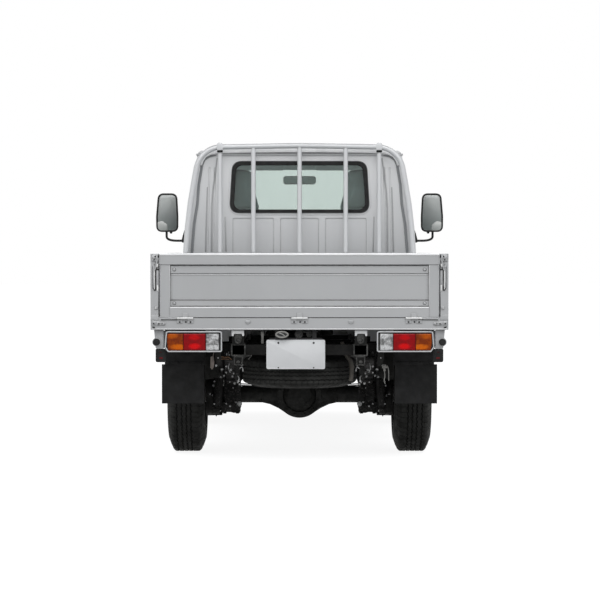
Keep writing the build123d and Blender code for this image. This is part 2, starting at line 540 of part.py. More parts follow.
# ---- cab parts
def cab_solid(inset):
    """The cab's outside, or with an inset the space inside its walls."""
    with BuildPart() as solid:
        with BuildSketch(Plane.XZ.offset(-CAB_FRONT_Y - 50)):
            with BuildLine():
                FilletPolyline(*CAB_SECTION, (0, ROOF_Z), *((-x, z) for x, z in reversed(CAB_SECTION)),
                               radius=CAB_SECTION_RADII + (5000,) + CAB_SECTION_RADII[::-1], close=True)
            make_face()
            if inset:
                offset(amount=-inset, kind=Kind.ARC)
        extrude(amount=CAB_FRONT_Y + 50 - CAB_BACK_Y + 50, dir=(0, -1, 0))
        with BuildSketch(Plane.YZ.offset(-BED_HALF)):
            with BuildLine():
                FilletPolyline(*CAB_SIDE, radius=CAB_SIDE_RADII, close=True)
            make_face()
            if inset:
                offset(amount=-inset, kind=Kind.ARC)
        extrude(amount=2 * BED_HALF, dir=(1, 0, 0), mode=Mode.INTERSECT)
        with BuildSketch(Plane.XY.offset(CAB_KEEL_Z - 50)):
            with BuildLine():
                FilletPolyline((-CAB_HALF, CAB_BACK_Y - 1), (CAB_HALF, CAB_BACK_Y - 1),
                               (CAB_HALF, CAB_FRONT_Y - CAB_BOW), (0, CAB_FRONT_Y + 1),
                               (-CAB_HALF, CAB_FRONT_Y - CAB_BOW), radius=CAB_PLAN_RADII, close=True)
            make_face()
            if inset:
                offset(amount=-inset, kind=Kind.ARC)
        extrude(amount=ROOF_Z, dir=(0, 0, 1), mode=Mode.INTERSECT)
    return solid.part


cab_outer = cab_solid(0.0)
cab_inner = cab_solid(CAB_WALL)
door_inner = cab_solid(DOOR_WALL)
cab_skin = cab_solid(-4.0)
glass_outer = cab_solid(8.0)
glass_inner = cab_solid(8.0 + GLASS_T)

DOOR_OUTLINE = ((690, 790), (690, 1822), (1590, 1822), (1700, 1560), (DOOR_FRONT_Y, 1180),
                (DOOR_FRONT_Y, 470), (1400, 470), (1400, 560), (1230, 790))
DOOR_RADII = (40, 60, 60, 100, 60, 60, 20, 60, 60)
DOOR_WINDOW = ((760, 1200), (770, 1770), (1530, 1770), (1590, 1420), (1590, 1200))
REAR_WINDOW = ((-478, 1464), (-457, 1817), (457, 1817), (478, 1464))
WINDSHIELD = ((-700, 1160), (-640, 1850), (640, 1850), (700, 1160))
BACK_SPLIT_Y = 500.0
ROOF_SPLIT = ((CAB_BACK_Y - 50, 1857), (1640, 1857), (1900, 2100), (CAB_BACK_Y - 50, 2100))
FRONT_SPLIT = ((1800, 300), (1800, 1150), (1760, 1240), (1500, 1880),
               (1720, 2100), (2300, 2100), (2300, 300))
REACH = BED_HALF + 20

door_zone = prism("x", DOOR_OUTLINE, 300, REACH, DOOR_RADII)
door_hole = prism("x", DOOR_OUTLINE, 300, REACH, DOOR_RADII, grow=DOOR_GAP)
windows = {
    "rear": ("y", REAR_WINDOW, CAB_BACK_Y - 50, CAB_BACK_Y + 90, 65),
    "windshield": ("y", WINDSHIELD, 1500, 2300, 80),
}
roof_zone = prism("x", ROOF_SPLIT, -REACH, REACH)
front_zone = prism("x", FRONT_SPLIT, -REACH, REACH)
cuts = {key: prism(*spec[:4], spec[4]) for key, spec in windows.items()}
with BuildPart() as arch:
    for side in (-1, 1):
        with Locations(Location((side * (ARCH_IN_X + 300), FRONT_AXLE_Y, AXLE_Z_FRONT), (0, 90, 0))):
            Cylinder(ARCH_R, 600)

with BuildPart() as cab_shell:
    add(cab_outer)
    add(cab_inner, mode=Mode.SUBTRACT)
    add(arch.part, mode=Mode.SUBTRACT)
    add(cuts["rear"], mode=Mode.SUBTRACT)
    add(cuts["windshield"], mode=Mode.SUBTRACT)
    add(door_hole, mode=Mode.SUBTRACT)
    add(door_hole.mirror(Plane.YZ), mode=Mode.SUBTRACT)
    # open underneath, where the floor, the frame and the engine go
    block((-700, 700), (CAB_BACK_Y + CAB_WALL, CAB_FRONT_Y - CAB_WALL),
          (CAB_KEEL_Z - 10, CAB_KEEL_Z + CAB_WALL + 10), mode=Mode.SUBTRACT)
    block((-ARCH_IN_X, ARCH_IN_X), (CAB_BACK_Y - 10, FRONT_AXLE_Y + ARCH_R),
          (CAB_KEEL_Z - 10, SEAT_BASE_Z - FLOOR_T), mode=Mode.SUBTRACT)

gutter_skin = cab_solid(-GUTTER)
with BuildPart() as gutter:
    add(gutter_skin)
    add(cab_inner, mode=Mode.SUBTRACT)
    block((-REACH, REACH), (CAB_BACK_Y - 50, 1600),
          (ROOF_SPLIT[0][1], ROOF_SPLIT[0][1] + 11), mode=Mode.INTERSECT)

with BuildPart() as cab_roof:
    add(cab_shell.part)
    add(roof_zone, mode=Mode.INTERSECT)
    add(gutter.part)
    add(front_zone, mode=Mode.SUBTRACT)
save(cab_roof.part, "cab_roof")
cab_sunk, cab_deep = cab_solid(GRILLE_DEPTH), cab_solid(GRILLE_DEPTH + 4)
with BuildPart() as grille:
    add(prism("y", GRILLE, 1900, CAB_FRONT_Y + 50, 22))
    add(cab_sunk, mode=Mode.SUBTRACT)
grille_zone = grille.part
with BuildPart() as bars:
    for z in (755, 790, 825):
        block((-GRILLE[2][0], GRILLE[2][0]), (1900, CAB_FRONT_Y + 50), (z - 6, z + 6))
    add(cab_solid(2.0), mode=Mode.INTERSECT)
    add(cab_deep, mode=Mode.SUBTRACT)
grille_bars = bars.part
with BuildPart() as cab_front:
    add(cab_shell.part)
    add(front_zone, mode=Mode.INTERSECT)
    add(grille_zone, mode=Mode.SUBTRACT)
    add(grille_bars)
save(cab_front.part, "cab_front")
window_flange = prism("y", REAR_WINDOW, CAB_BACK_Y - 3, CAB_BACK_Y + 1, 65, grow=11)
back_panels = [prism("y", ((low, 700), (low, 1431), (high, 1431), (high, 700)),
                     CAB_BACK_Y - 10, CAB_BACK_Y + 5, 12)
               for low, high in ((-455, -174), (-131, 131), (174, 455))]
with BuildPart() as cab_back:
    add(cab_shell.part)
    block((-REACH, REACH), (CAB_BACK_Y - 50, BACK_SPLIT_Y), (300, 2100), mode=Mode.INTERSECT)
    add(roof_zone, mode=Mode.SUBTRACT)
    add(window_flange)
    add(cuts["rear"], mode=Mode.SUBTRACT)
    # pressings: a sunk lower panel with two ribs left standing, and two grooves down each side
    for panel in back_panels:
        add(panel, mode=Mode.SUBTRACT)
    for side in (-1, 1):
        for top_x, low_x in BACK_GROOVES:
            low, high = Vector(side * low_x, GROOVE_Y, 620), Vector(side * top_x, GROOVE_Y, 1770)
            with Locations(Plane(origin=(low + high) / 2, z_dir=(high - low).normalized()).location):
                Cylinder(GROOVE_R, (high - low).length, mode=Mode.SUBTRACT)
            with Locations(high):
                Sphere(GROOVE_R, mode=Mode.SUBTRACT)
save(cab_back.part, "cab_back")
with BuildPart() as cab_sides:
    add(cab_shell.part)
    block((-REACH, REACH), (BACK_SPLIT_Y, 2300), (300, 2100), mode=Mode.INTERSECT)
    add(roof_zone, mode=Mode.SUBTRACT)
    add(front_zone, mode=Mode.SUBTRACT)
    for side in (-1, 1):
        for z in DOOR_HINGES_Z:
            block(sorted((side * (CAB_HALF - CAB_WALL), side * (DOOR_HINGE_X - DOOR_KNUCKLE_R - 1))),
                  (DOOR_HINGE_Y + DOOR_GAP / 2, DOOR_HINGE_Y + 34), (z - 45.6, z + 45.6))
            for step in (-30.6, 30.6):
                block(sorted((side * (DOOR_HINGE_X - DOOR_KNUCKLE_R - 2), side * (DOOR_HINGE_X + 5))),
                      (DOOR_HINGE_Y, DOOR_HINGE_Y + 34), (z + step - 15, z + step + 15))
                with Locations((side * DOOR_HINGE_X, DOOR_HINGE_Y, z + step)):
                    Cylinder(DOOR_KNUCKLE_R, 30)
save(cab_sides.part, "cab_sides")

seal_parts, glass_parts = [], []
for key, (axis, points, low, high, radius) in windows.items():
    outer = prism(axis, points, low, high, radius, grow=-FIT)
    inner = prism(axis, points, low, high, radius, grow=-SEAL_W)
    pane = prism(axis, points, low, high, radius, grow=-SEAL_W - FIT)
    with BuildPart() as seal:
        add(cab_skin)
        add(cab_inner, mode=Mode.SUBTRACT)
        add(outer, mode=Mode.INTERSECT)
        add(inner, mode=Mode.SUBTRACT)
    with BuildPart() as glass:
        add(glass_outer)
        add(glass_inner, mode=Mode.SUBTRACT)
        add(pane, mode=Mode.INTERSECT)
    seal_parts.append(seal.part)
    glass_parts.append(glass.part)
with BuildPart() as window_seals:
    for solid in seal_parts:
        add(solid)
save(window_seals.part, "window_seals")
with BuildPart() as cab_glass:
    for solid in glass_parts:
        add(solid)
save(cab_glass.part, "cab_glass")

panel_seat = cab_solid(-FIT)
with BuildPart() as pocket_cut:
    add(prism("x", ((735, 1095), (735, 1150), (885, 1150), (885, 1095)), 500, REACH, 22))
    add(cab_sunk, mode=Mode.SUBTRACT)
door_pocket = pocket_cut.part
with BuildPart() as handle_bar:
    block((500, REACH), (730, 890), (1118, 1138))
    add(panel_seat, mode=Mode.INTERSECT)
    add(cab_solid(7.0), mode=Mode.SUBTRACT)
door_handle = handle_bar.part
for side, label in ((-1, "left"), (1, "right")):
    zone = door_zone if side > 0 else door_zone.mirror(Plane.YZ)
    span = (500, REACH) if side > 0 else (-REACH, -500)
    window = prism("x", DOOR_WINDOW, *span, 50)
    pane = prism("x", DOOR_WINDOW, *span, 50, grow=-FIT)
    pocket, handle = (grip if side > 0 else grip.mirror(Plane.YZ) for grip in (door_pocket, door_handle))
    with BuildPart() as door:
        add(cab_outer)
        add(door_inner, mode=Mode.SUBTRACT)
        add(zone, mode=Mode.INTERSECT)
        add(window, mode=Mode.SUBTRACT)
        add(pocket, mode=Mode.SUBTRACT)
        add(handle)
        for z in DOOR_HINGES_Z:
            block(sorted((side * (CAB_HALF - DOOR_WALL / 2), side * (DOOR_HINGE_X + 2))),
                  (DOOR_HINGE_Y - 34, DOOR_HINGE_Y - DOOR_GAP / 2), (z - 15, z + 15))
            block(sorted((side * DOOR_HINGE_X, side * (DOOR_HINGE_X + 5))),
                  (DOOR_HINGE_Y - 34, DOOR_HINGE_Y), (z - 15, z + 15))
            with Locations((side * DOOR_HINGE_X, DOOR_HINGE_Y, z)):
                Cylinder(DOOR_KNUCKLE_R, 30)
    save(door.part, f"door_{label}")
    with BuildPart() as door_glass:
        add(glass_outer)
        add(glass_inner, mode=Mode.SUBTRACT)
        add(pane, mode=Mode.INTERSECT)
    save(door_glass.part, f"door_glass_{label}")
    with BuildPart() as door_mirror:
        block(sorted((side * 896, side * 1062)), (MIRROR_Y - 20, MIRROR_Y + 40), (1338, 1630))
        fillet(door_mirror.edges().filter_by(Axis.Y), 30)
        with BuildLine():
            FilletPolyline((side * 981, MIRROR_Y + 10, 1345), (side * 981, MIRROR_Y + 10, 1282),
                           (side * 790, MIRROR_Y + 10, 1282), radius=40)
        with BuildSketch(Plane.XY.offset(1345).move(Location((side * 981, MIRROR_Y + 10, 0)))):
            Circle(7.5)
        sweep()
        block(sorted((side * 740, side * 858)), (MIRROR_Y - 12, MIRROR_Y + 32), (1262, 1302))
        add(panel_seat, mode=Mode.SUBTRACT)
    save(door_mirror.part, f"door_mirror_{label}")

cab_room = cab_solid(CAB_WALL + FIT)
door_sweep = prism("x", DOOR_OUTLINE, CAB_HALF - DOOR_WALL - 40, REACH, DOOR_RADII, grow=SWING)
with BuildPart() as cab_floor:
    with BuildSketch(Plane.YZ.offset(-REACH)):
        with BuildLine():
            Polyline((CAB_BACK_Y, SEAT_BASE_Z), (1400, SEAT_BASE_Z), (1400, FOOT_Z), (CAB_FRONT_Y, FOOT_Z),
                     (CAB_FRONT_Y, RAIL_FRONT_Z[1] + FIT), (1400 - FLOOR_T, RAIL_FRONT_Z[1] + FIT),
                     (1400 - FLOOR_T, SEAT_BASE_Z - FLOOR_T),
                     (CAB_BACK_Y, SEAT_BASE_Z - FLOOR_T), close=True)
        make_face()
    extrude(amount=2 * REACH)
    add(cab_room, mode=Mode.INTERSECT)
    add(door_sweep, mode=Mode.SUBTRACT)
    add(door_sweep.mirror(Plane.YZ), mode=Mode.SUBTRACT)
save(cab_floor.part, "cab_floor")

bumper_skin, bumper_seat = cab_solid(-BUMPER_T), cab_solid(-FIT)
with BuildPart() as bumper:
    add(bumper_skin)
    add(bumper_seat, mode=Mode.SUBTRACT)
    block((-REACH, REACH), (1880, CAB_FRONT_Y + 2 * BUMPER_T), (392, 560), mode=Mode.INTERSECT)
    add(prism("y", ((-330, 425), (-330, 500), (330, 500), (330, 425)), 1900, CAB_FRONT_Y + 90, 18),
        mode=Mode.SUBTRACT)
save(bumper.part, "bumper")
indicator_skin, indicator_seat = cab_solid(-BUMPER_T - 5), cab_solid(-BUMPER_T - FIT)
with BuildPart() as indicators:
    add(prism("y", INDICATOR, 1900, CAB_FRONT_Y + 90, 12))
    mirror(about=Plane.YZ)
    add(indicator_skin, mode=Mode.INTERSECT)
    add(indicator_seat, mode=Mode.SUBTRACT)
with BuildPart() as lens_amber:
    add(lens_parts["lens_amber"])
    add(indicators.part)
save(lens_amber.part, "lens_amber")
save(lens_parts["lens_red"], "lens_red")
save(lens_parts["lens_clear"], "lens_clear")
lamp_skin = cab_solid(-LAMP_PROUD)
with BuildPart() as headlamps:
    add(prism("y", HEADLAMP, 1900, CAB_FRONT_Y + 50, 40))
    mirror(about=Plane.YZ)
    add(lamp_skin, mode=Mode.INTERSECT)
    add(bumper_seat, mode=Mode.SUBTRACT)
    block((-REACH, REACH), (1900, CAB_FRONT_Y + 50), (600, 1000), mode=Mode.INTERSECT)
save(headlamps.part, "headlamps")
column = Vector(0, -math.sin(COLUMN_LEAN), math.cos(COLUMN_LEAN))
column_foot = Vector(DRIVER_X, 1850, FOOT_Z + FIT + COLUMN_R * math.sin(COLUMN_LEAN))
column_top = column_foot + column * COLUMN_LONG
with BuildPart() as dashboard:
    block((-700, 700), (1780, CAB_FRONT_Y), (980, 1130))
    add(cab_room, mode=Mode.INTERSECT)
    with BuildSketch(Plane(origin=column_foot, z_dir=column)):
        Circle(COLUMN_R)
    extrude(amount=COLUMN_LONG)
save(dashboard.part, "dashboard")
steering_plane = Plane(origin=column_top + column * FIT, z_dir=column)
with BuildPart() as steering_wheel:
    with BuildSketch(steering_plane):
        Circle(45)
        Rectangle(380, 30)
    extrude(amount=24)
steering_plane = steering_plane.offset(12)
with BuildPart() as wheel_rim:
    Torus(190, 13)
with steering_wheel:
    add(wheel_rim.part.moved(steering_plane.location))
save(steering_wheel.part, "steering_wheel")
seat_back = ((-235, 1000), (-232, 1330), (-144, 1495), (-120, 1602), (-85, 1688), (-52, 1762), (0, 1792),
             (52, 1762), (85, 1688), (120, 1602), (144, 1495), (232, 1330), (235, 1000))
seat_radii = (30, 90, 60, 200, 200, 40, 40, 40, 200, 200, 60, 90, 30)
seat_lean = prism("x", ((700, 990), (585, 1800), (500, 1800), (560, 990)), -240, 240)
with BuildPart() as seat:
    add(prism("y", seat_back, 450, 800, seat_radii))
    add(seat_lean, mode=Mode.INTERSECT)
with BuildPart() as cushion:
    block((-240, 240), (640, 1280), (SEAT_BASE_Z + FIT, 1030))
    fillet(cushion.edges().filter_by(Axis.Y).sort_by(Axis.Z)[-2:], 35)
    fillet(cushion.edges().filter_by(Axis.X).sort_by(Axis.Z)[-1:], 35)
with BuildPart() as seats:
    with Locations((-DRIVER_X, 0, 0), (DRIVER_X, 0, 0)):
        add(seat.part)
        add(cushion.part)
save(seats.part, "seats")
with BuildPart() as interior_mirror:
    block((-118, 118), (1620, 1640), (1696, 1762))
    block((-10, 10), (1639, 1655), (1740, 1900))
    add(cab_room, mode=Mode.INTERSECT)
save(interior_mirror.part, "interior_mirror")
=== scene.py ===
import json
import math

import bmesh
import bpy
from mathutils import Matrix, Vector
from mathutils.bvhtree import BVHTree

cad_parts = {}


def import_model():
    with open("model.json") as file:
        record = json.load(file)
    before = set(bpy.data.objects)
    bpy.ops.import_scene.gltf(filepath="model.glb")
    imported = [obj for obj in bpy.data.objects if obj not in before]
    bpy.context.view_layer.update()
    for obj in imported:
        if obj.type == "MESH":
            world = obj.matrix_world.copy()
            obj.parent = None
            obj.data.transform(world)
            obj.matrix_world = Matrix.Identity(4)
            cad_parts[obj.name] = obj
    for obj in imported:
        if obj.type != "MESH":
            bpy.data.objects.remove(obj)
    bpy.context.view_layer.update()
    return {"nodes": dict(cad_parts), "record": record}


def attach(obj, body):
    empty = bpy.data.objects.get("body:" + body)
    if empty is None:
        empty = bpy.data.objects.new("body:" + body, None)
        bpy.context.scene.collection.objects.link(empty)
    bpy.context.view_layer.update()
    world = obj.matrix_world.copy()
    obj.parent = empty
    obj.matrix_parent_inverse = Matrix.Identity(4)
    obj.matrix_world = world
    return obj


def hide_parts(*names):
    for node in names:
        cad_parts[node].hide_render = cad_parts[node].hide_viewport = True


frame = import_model()
NODES = frame["nodes"]
WHITE = (1.0, 1.0, 1.0)


def node(tree, kind, inputs=(), **settings):
    """A new shader node; its inputs are numbers, colours or other nodes' outputs."""
    made = tree.nodes.new("ShaderNode" + kind)
    for key, value in settings.items():
        setattr(made, key, value)
    for key, value in dict(inputs).items():
        fill(tree, made.inputs[key], value)
    return made


def fill(tree, socket, value):
    if isinstance(value, bpy.types.NodeSocket):
        tree.links.new(value, socket)
    else:
        socket.default_value = (*value, 1) if socket.type == "RGBA" else value


def placed(name, data, at=(0, 0, 0)):
    obj = bpy.data.objects.new(name, data)
    obj.location = at
    bpy.context.scene.collection.objects.link(obj)
    return obj


# ---------------------------------------------------------------- camera, light and floor
CAMERA_AT = (0.003, -14.125, 1.213)
CAMERA_PITCH = math.radians(-1.34)
FOCAL_SHARE, SENSOR = 2135 / 600, 36.0  # focal length as a share of the sensor's width, and that width in mm
SKY, SKY_POWER = (0.93, 0.96, 1.0), 0.62
FLOOR_HALF, FLOOR_GREY, FLOOR_SEEN, FLOOR_GLOW = 60.0, 0.18, 0.20, 0.90


def camera():
    data = bpy.data.cameras.new("camera")
    data.lens, data.sensor_width = FOCAL_SHARE * SENSOR, SENSOR
    data.clip_start, data.clip_end = 0.1, 200.0
    obj = placed("camera", data, CAMERA_AT)
    obj.rotation_euler = (math.pi / 2 + CAMERA_PITCH, 0, 0)
    bpy.context.scene.camera = obj


def area_light(name, at, look, size, power):
    data = bpy.data.lights.new(name, "AREA")
    data.shape, data.size, data.size_y = "RECTANGLE", size[0], size[1]
    data.energy = power
    placed(name, data, at).rotation_euler = (Vector(look) - Vector(at)).to_track_quat("-Z", "Y").to_euler()


def two_sided(tree, lights, shows, kind):
    """One shader for the rays that light the object, another for camera, glossy and transmitted rays."""
    tree.nodes.clear()
    path = node(tree, "LightPath")
    seen = path.outputs["Is Camera Ray"]
    for name in ("Is Glossy Ray", "Is Transmission Ray"):
        both_rays = {0: seen, 1: path.outputs[name]}
        seen = node(tree, "Math", both_rays, operation="ADD", use_clamp=True).outputs[0]
    mix = node(tree, "MixShader", {0: seen, 1: lights(tree).outputs[0], 2: shows(tree).outputs[0]})
    node(tree, kind, {"Surface": mix.outputs[0]})


def world():
    made = bpy.data.worlds.new("studio")
    made.use_nodes = True
    two_sided(made.node_tree, lambda tree: node(tree, "Background", {"Color": SKY, "Strength": SKY_POWER}),
              lambda tree: node(tree, "Background", {"Color": WHITE, "Strength": 1.0}), "OutputWorld")
    bpy.context.scene.world = made


def shown_floor(tree):
    pale = node(tree, "BsdfDiffuse", {"Color": (FLOOR_SEEN,) * 3})
    glow = node(tree, "Emission", {"Color": WHITE, "Strength": FLOOR_GLOW})
    return node(tree, "AddShader", {0: pale.outputs[0], 1: glow.outputs[0]})


def floor():
    mesh = bpy.data.meshes.new("floor")
    corners = [(x * FLOOR_HALF, y * FLOOR_HALF, 0) for x, y in ((-1, -1), (1, -1), (1, 1), (-1, 1))]
    mesh.from_pydata(corners, [], [(0, 1, 2, 3)])
    made = bpy.data.materials.new("floor")
    made.use_nodes = True
    two_sided(made.node_tree, lambda tree: node(tree, "BsdfDiffuse", {"Color": (FLOOR_GREY,) * 3}),
              shown_floor, "OutputMaterial")
    mesh.materials.append(made)
    placed("floor", mesh)


camera()
world()
floor()
area_light("key", (-3.0, -7.5, 9.0), (0, -1.0, 0.9), (12.0, 8.0), 660)
area_light("fill", (4.5, -7.0, 8.0), (0, -1.0, 0.9), (9.0, 7.0), 340)
area_light("front", (2.0, 8.0, 8.5), (0, 1.0, 1.0), (9.0, 7.0), 420)
bpy.context.scene.view_settings.view_transform = "Standard"

# ---------------------------------------------------------------- materials
LOOKS = {}


class Look:
    """A material made of nodes, in the object's own coordinates, in metres."""

    def __init__(self, name):
        made = LOOKS[name] = bpy.data.materials.new(name)
        made.use_nodes = True
        self.tree = made.node_tree
        self.shader = self.tree.nodes["Principled BSDF"]
        self.where = self.node("TexCoord").outputs["Object"]

    def node(self, kind, inputs=(), **settings):
        return node(self.tree, kind, inputs, **settings)

    def maths(self, kind, *values):
        return self.node("Math", dict(enumerate(values)), operation=kind).outputs[0]

    def times(self, a, b):
        return self.maths("MULTIPLY", a, b)

    def blend(self, share, a, b):
        """Colour a to colour b by share; each colour is a triple or an output."""
        return self.node("Mix", {0: share, 6: a, 7: b}, data_type="RGBA").outputs[2]

    def ramp(self, value, low, high, start=0.0, end=1.0):
        """value mapped from low..high to start..end, held at the ends."""
        inputs = {"Value": value, "From Min": low, "From Max": high, "To Min": start, "To Max": end}
        return self.node("MapRange", inputs, interpolation_type="SMOOTHSTEP").outputs[0]

    def noise(self, scale, detail=4.0, rough=0.55, stretch=None):
        inputs = {"Vector": self.where, "Scale": scale, "Detail": detail, "Roughness": rough}
        if stretch:
            inputs["Vector"] = self.node("Mapping", {"Vector": self.where, "Scale": stretch}).outputs[0]
        return self.node("TexNoise", inputs).outputs[0]

    def clouds(self, grain, low, high, start=0.0, end=1.0):
        """Noise of a (scale, detail, roughness, stretch), mapped from low..high to start..end."""
        return self.ramp(self.noise(*grain), low, high, start, end)

    def patchy(self, colour, grain, low, high, dark, light):
        """Shares dark to light of one colour, in clouds."""
        return self.blend(self.clouds(grain, low, high), tinted(colour, dark), tinted(colour, light))

    def bump(self, height, distance, strength, under=None):
        inputs = {"Distance": distance, "Strength": strength, "Height": height}
        return self.node("Bump", {**inputs, "Normal": under} if under else inputs).outputs[0]

    def along(self, axis):
        return self.node("SeparateXYZ", {0: self.where}).outputs[axis]

    def up(self):
        """How far the surface faces the sky."""
        return self.node("SeparateXYZ", {0: self.node("NewGeometry").outputs["Normal"]}).outputs[2]

    def crevice(self, distance):
        """1 in inner corners and seams, 0 in the open: an ambient occlusion mask, used for painted shade."""
        made = self.node("AmbientOcclusion", {"Distance": distance}, samples=4)
        return self.ramp(made.outputs["AO"], 0.35, 0.95, 1.0, 0.0)

    def soft_edges(self, radius):
        """Normals that round the edges over a radius."""
        return self.node("Bevel", {"Radius": radius}, samples=6).outputs[0]

    def proud(self):
        """1 on what stands out past the bed's outer faces at the height of its hinges."""
        behind = self.ramp(self.along(1), -2.1262, -2.1258, 1.0, 0.0)
        beside = self.ramp(self.maths("ABSOLUTE", self.along(0)), 0.8383, 0.8387)
        height = self.along(2)
        hinge = self.times(self.ramp(height, 0.820, 0.822), self.ramp(height, 0.8355, 0.8375, 1.0, 0.0))
        return self.times(self.maths("MAXIMUM", behind, beside), hinge)

    def set(self, **values):
        for key, value in values.items():
            fill(self.tree, self.shader.inputs[key.replace("_", " ")], value)


def tinted(colour, share):
    return tuple(min(share * c, 1.0) for c in colour)


DIRT, SEAM_SHADE, DUST = (0.34, 0.335, 0.32), (0.10, 0.097, 0.092), (0.27, 0.25, 0.22)
BARE, PAINTED_LIGHT, CHIP = (0.70, 0.70, 0.69), (0.93, 0.93, 0.93), (0.22, 0.21, 0.20)
RUST, OLD_RUST, GRIME_AND_SHADE = (0.16, 0.075, 0.035), (0.075, 0.036, 0.018), (0.03, 0.028, 0.025)
ROAD, MUD = (0.13, 0.115, 0.10), (0.13, 0.12, 0.10)


def painted(name, colour, dust=0.30, gloss=0.34, worn=0.0, painted_highlight=0.0, painted_light_high=0.0, painted_top_shade=0.0):
    """Silver paint: a fine flake, faint clouds and runs, dust low down, painted shade in seams and corners,
    worn hinges; where asked, paler all over as a painted highlight, paler high up as painted light, and
    darker where it faces up as painted shade.
    """
    look = Look(name)
    shade = look.patchy(colour, (1.1, 4.0, 0.6), 0.35, 0.7, 0.96, 1.03)
    shade = look.blend(look.clouds((14.0, 3.0, 0.5, (1.0, 1.0, 0.06)), 0.5, 0.85, 0.0, 0.10), shade, DIRT)
    # painted shade: seams and inner corners darkened through the ambient occlusion mask
    seam_shade = look.times(look.crevice(0.016), look.clouds((35.0, 3.0), 0.3, 0.7, 0.45, 0.85))
    shade = look.blend(seam_shade, shade, SEAM_SHADE)
    low = look.ramp(look.along(2), 0.3, 0.85, dust, 0.0)
    shade = look.blend(look.times(low, look.clouds((9.0, 6.0, 0.7), 0.35, 0.75)), shade, DUST)
    if worn:
        bare = look.times(look.proud(), look.clouds((60.0, 4.0, 0.6), 0.25, 0.6, 0.35, worn))
        shade = look.blend(bare, shade, BARE)
    # painted highlight: the paint made paler all over, in clouds
    if painted_highlight:
        shade = look.blend(look.clouds((7.0, 5.0, 0.7), 0.3, 0.7, 0.75 * painted_highlight, painted_highlight), shade, PAINTED_LIGHT)
    # painted light: paler from 1.15 m up to 1.85 m
    if painted_light_high:
        shade = look.blend(look.ramp(look.along(2), 1.15, 1.85, 0.0, painted_light_high), shade, PAINTED_LIGHT)
    # painted shade: darker where the surface faces up
    if painted_top_shade:
        shade = look.blend(look.ramp(look.up(), 0.0, 0.9, 0.0, painted_top_shade), shade, tinted(colour, 0.35))
    flake, waves = look.noise(1400.0, 2.0), look.noise(2.6, 2.0)
    normal = look.bump(flake, 0.0004, 0.08, look.bump(waves, 0.004, 0.10, look.soft_edges(0.003)))
    look.set(Base_Color=shade, Roughness=look.clouds((5.0, 5.0, 0.6), 0.3, 0.75, gloss - 0.05, gloss + 0.14),
             Metallic=0.18, Normal=normal, Coat_Weight=0.3, Coat_Roughness=0.18)


def metal(name, colour, rough, rust, grime_and_shade, metallic):
    look = Look(name)
    shade = look.patchy(colour, (22.0, 6.0, 0.7), 0.3, 0.75, 0.7, 1.15)
    spots = look.clouds((55.0, 8.0, 0.75), 0.58, 0.72, 0.0, rust)
    shade = look.blend(spots, shade, RUST)
    # grime and painted shade: darker in crevices through the ambient occlusion mask
    shade = look.blend(look.times(look.crevice(0.03), grime_and_shade), shade, GRIME_AND_SHADE)
    look.set(Base_Color=shade, Roughness=look.clouds((40.0, 5.0), 0.3, 0.7, rough - 0.1, rough + 0.2),
             Metallic=look.ramp(spots, 0.0, max(rust, 0.01), metallic, 0.2),
             Normal=look.bump(look.noise(260.0), 0.0006, 0.5, look.soft_edges(0.0015)))


def chassis_paint(name, colour, dust=0.10, rust=0.5, chips=0.0):
    """Dull black paint or casting with oil stains, a little rust, chips, and dust where it lies."""
    look = Look(name)
    shade = look.patchy(colour, (13.0, 6.0, 0.7), 0.35, 0.7, 0.5, 1.4)
    shade = look.blend(look.clouds((31.0, 8.0, 0.78), 0.63, 0.75, 0.0, rust), shade, OLD_RUST)
    film = look.times(look.ramp(look.up(), 0.2, 0.9, 0.03, dust), look.clouds((50.0, 6.0), 0.35, 0.75))
    shade = look.blend(film, shade, ROAD)
    if chips:
        shade = look.blend(look.clouds((90.0, 6.0, 0.8), 0.52, 0.66, 0.0, chips), shade, CHIP)
    normal = look.bump(look.noise(190.0, 5.0, 0.65), 0.0012, 0.55, look.soft_edges(0.002))
    look.set(Base_Color=shade, Roughness=look.clouds((17.0, 5.0), 0.3, 0.7, 0.45, 0.8), Normal=normal,
             Specular_IOR_Level=0.14)


def rubbery(name, colour, dust, grain, rough):
    look = Look(name)
    shade = look.patchy(colour, (18.0, 5.0, 0.65), 0.3, 0.75, 0.7, 1.3)
    shade = look.blend(look.times(look.clouds((7.0, 7.0, 0.7), 0.45, 0.85), dust), shade, MUD)
    look.set(Base_Color=shade, Roughness=look.clouds((26.0,), 0.3, 0.7, rough - 0.1, rough + 0.12),
             Specular_IOR_Level=0.13,
             Normal=look.bump(look.noise(grain, 3.0, 0.6), 0.0005, 0.5, look.soft_edges(0.0015)))


def plastic(name, colour, rough=0.5, grain=900.0, cloud=0.1):
    look = Look(name)
    look.set(Base_Color=look.patchy(colour, (12.0,), 0.3, 0.7, 1 - cloud, 1 + cloud), Specular_IOR_Level=0.25,
             Roughness=look.clouds((30.0,), 0.3, 0.7, rough - 0.06, rough + 0.1),
             Normal=look.bump(look.noise(grain, 2.0), 0.0003, 0.35, look.soft_edges(0.001)))


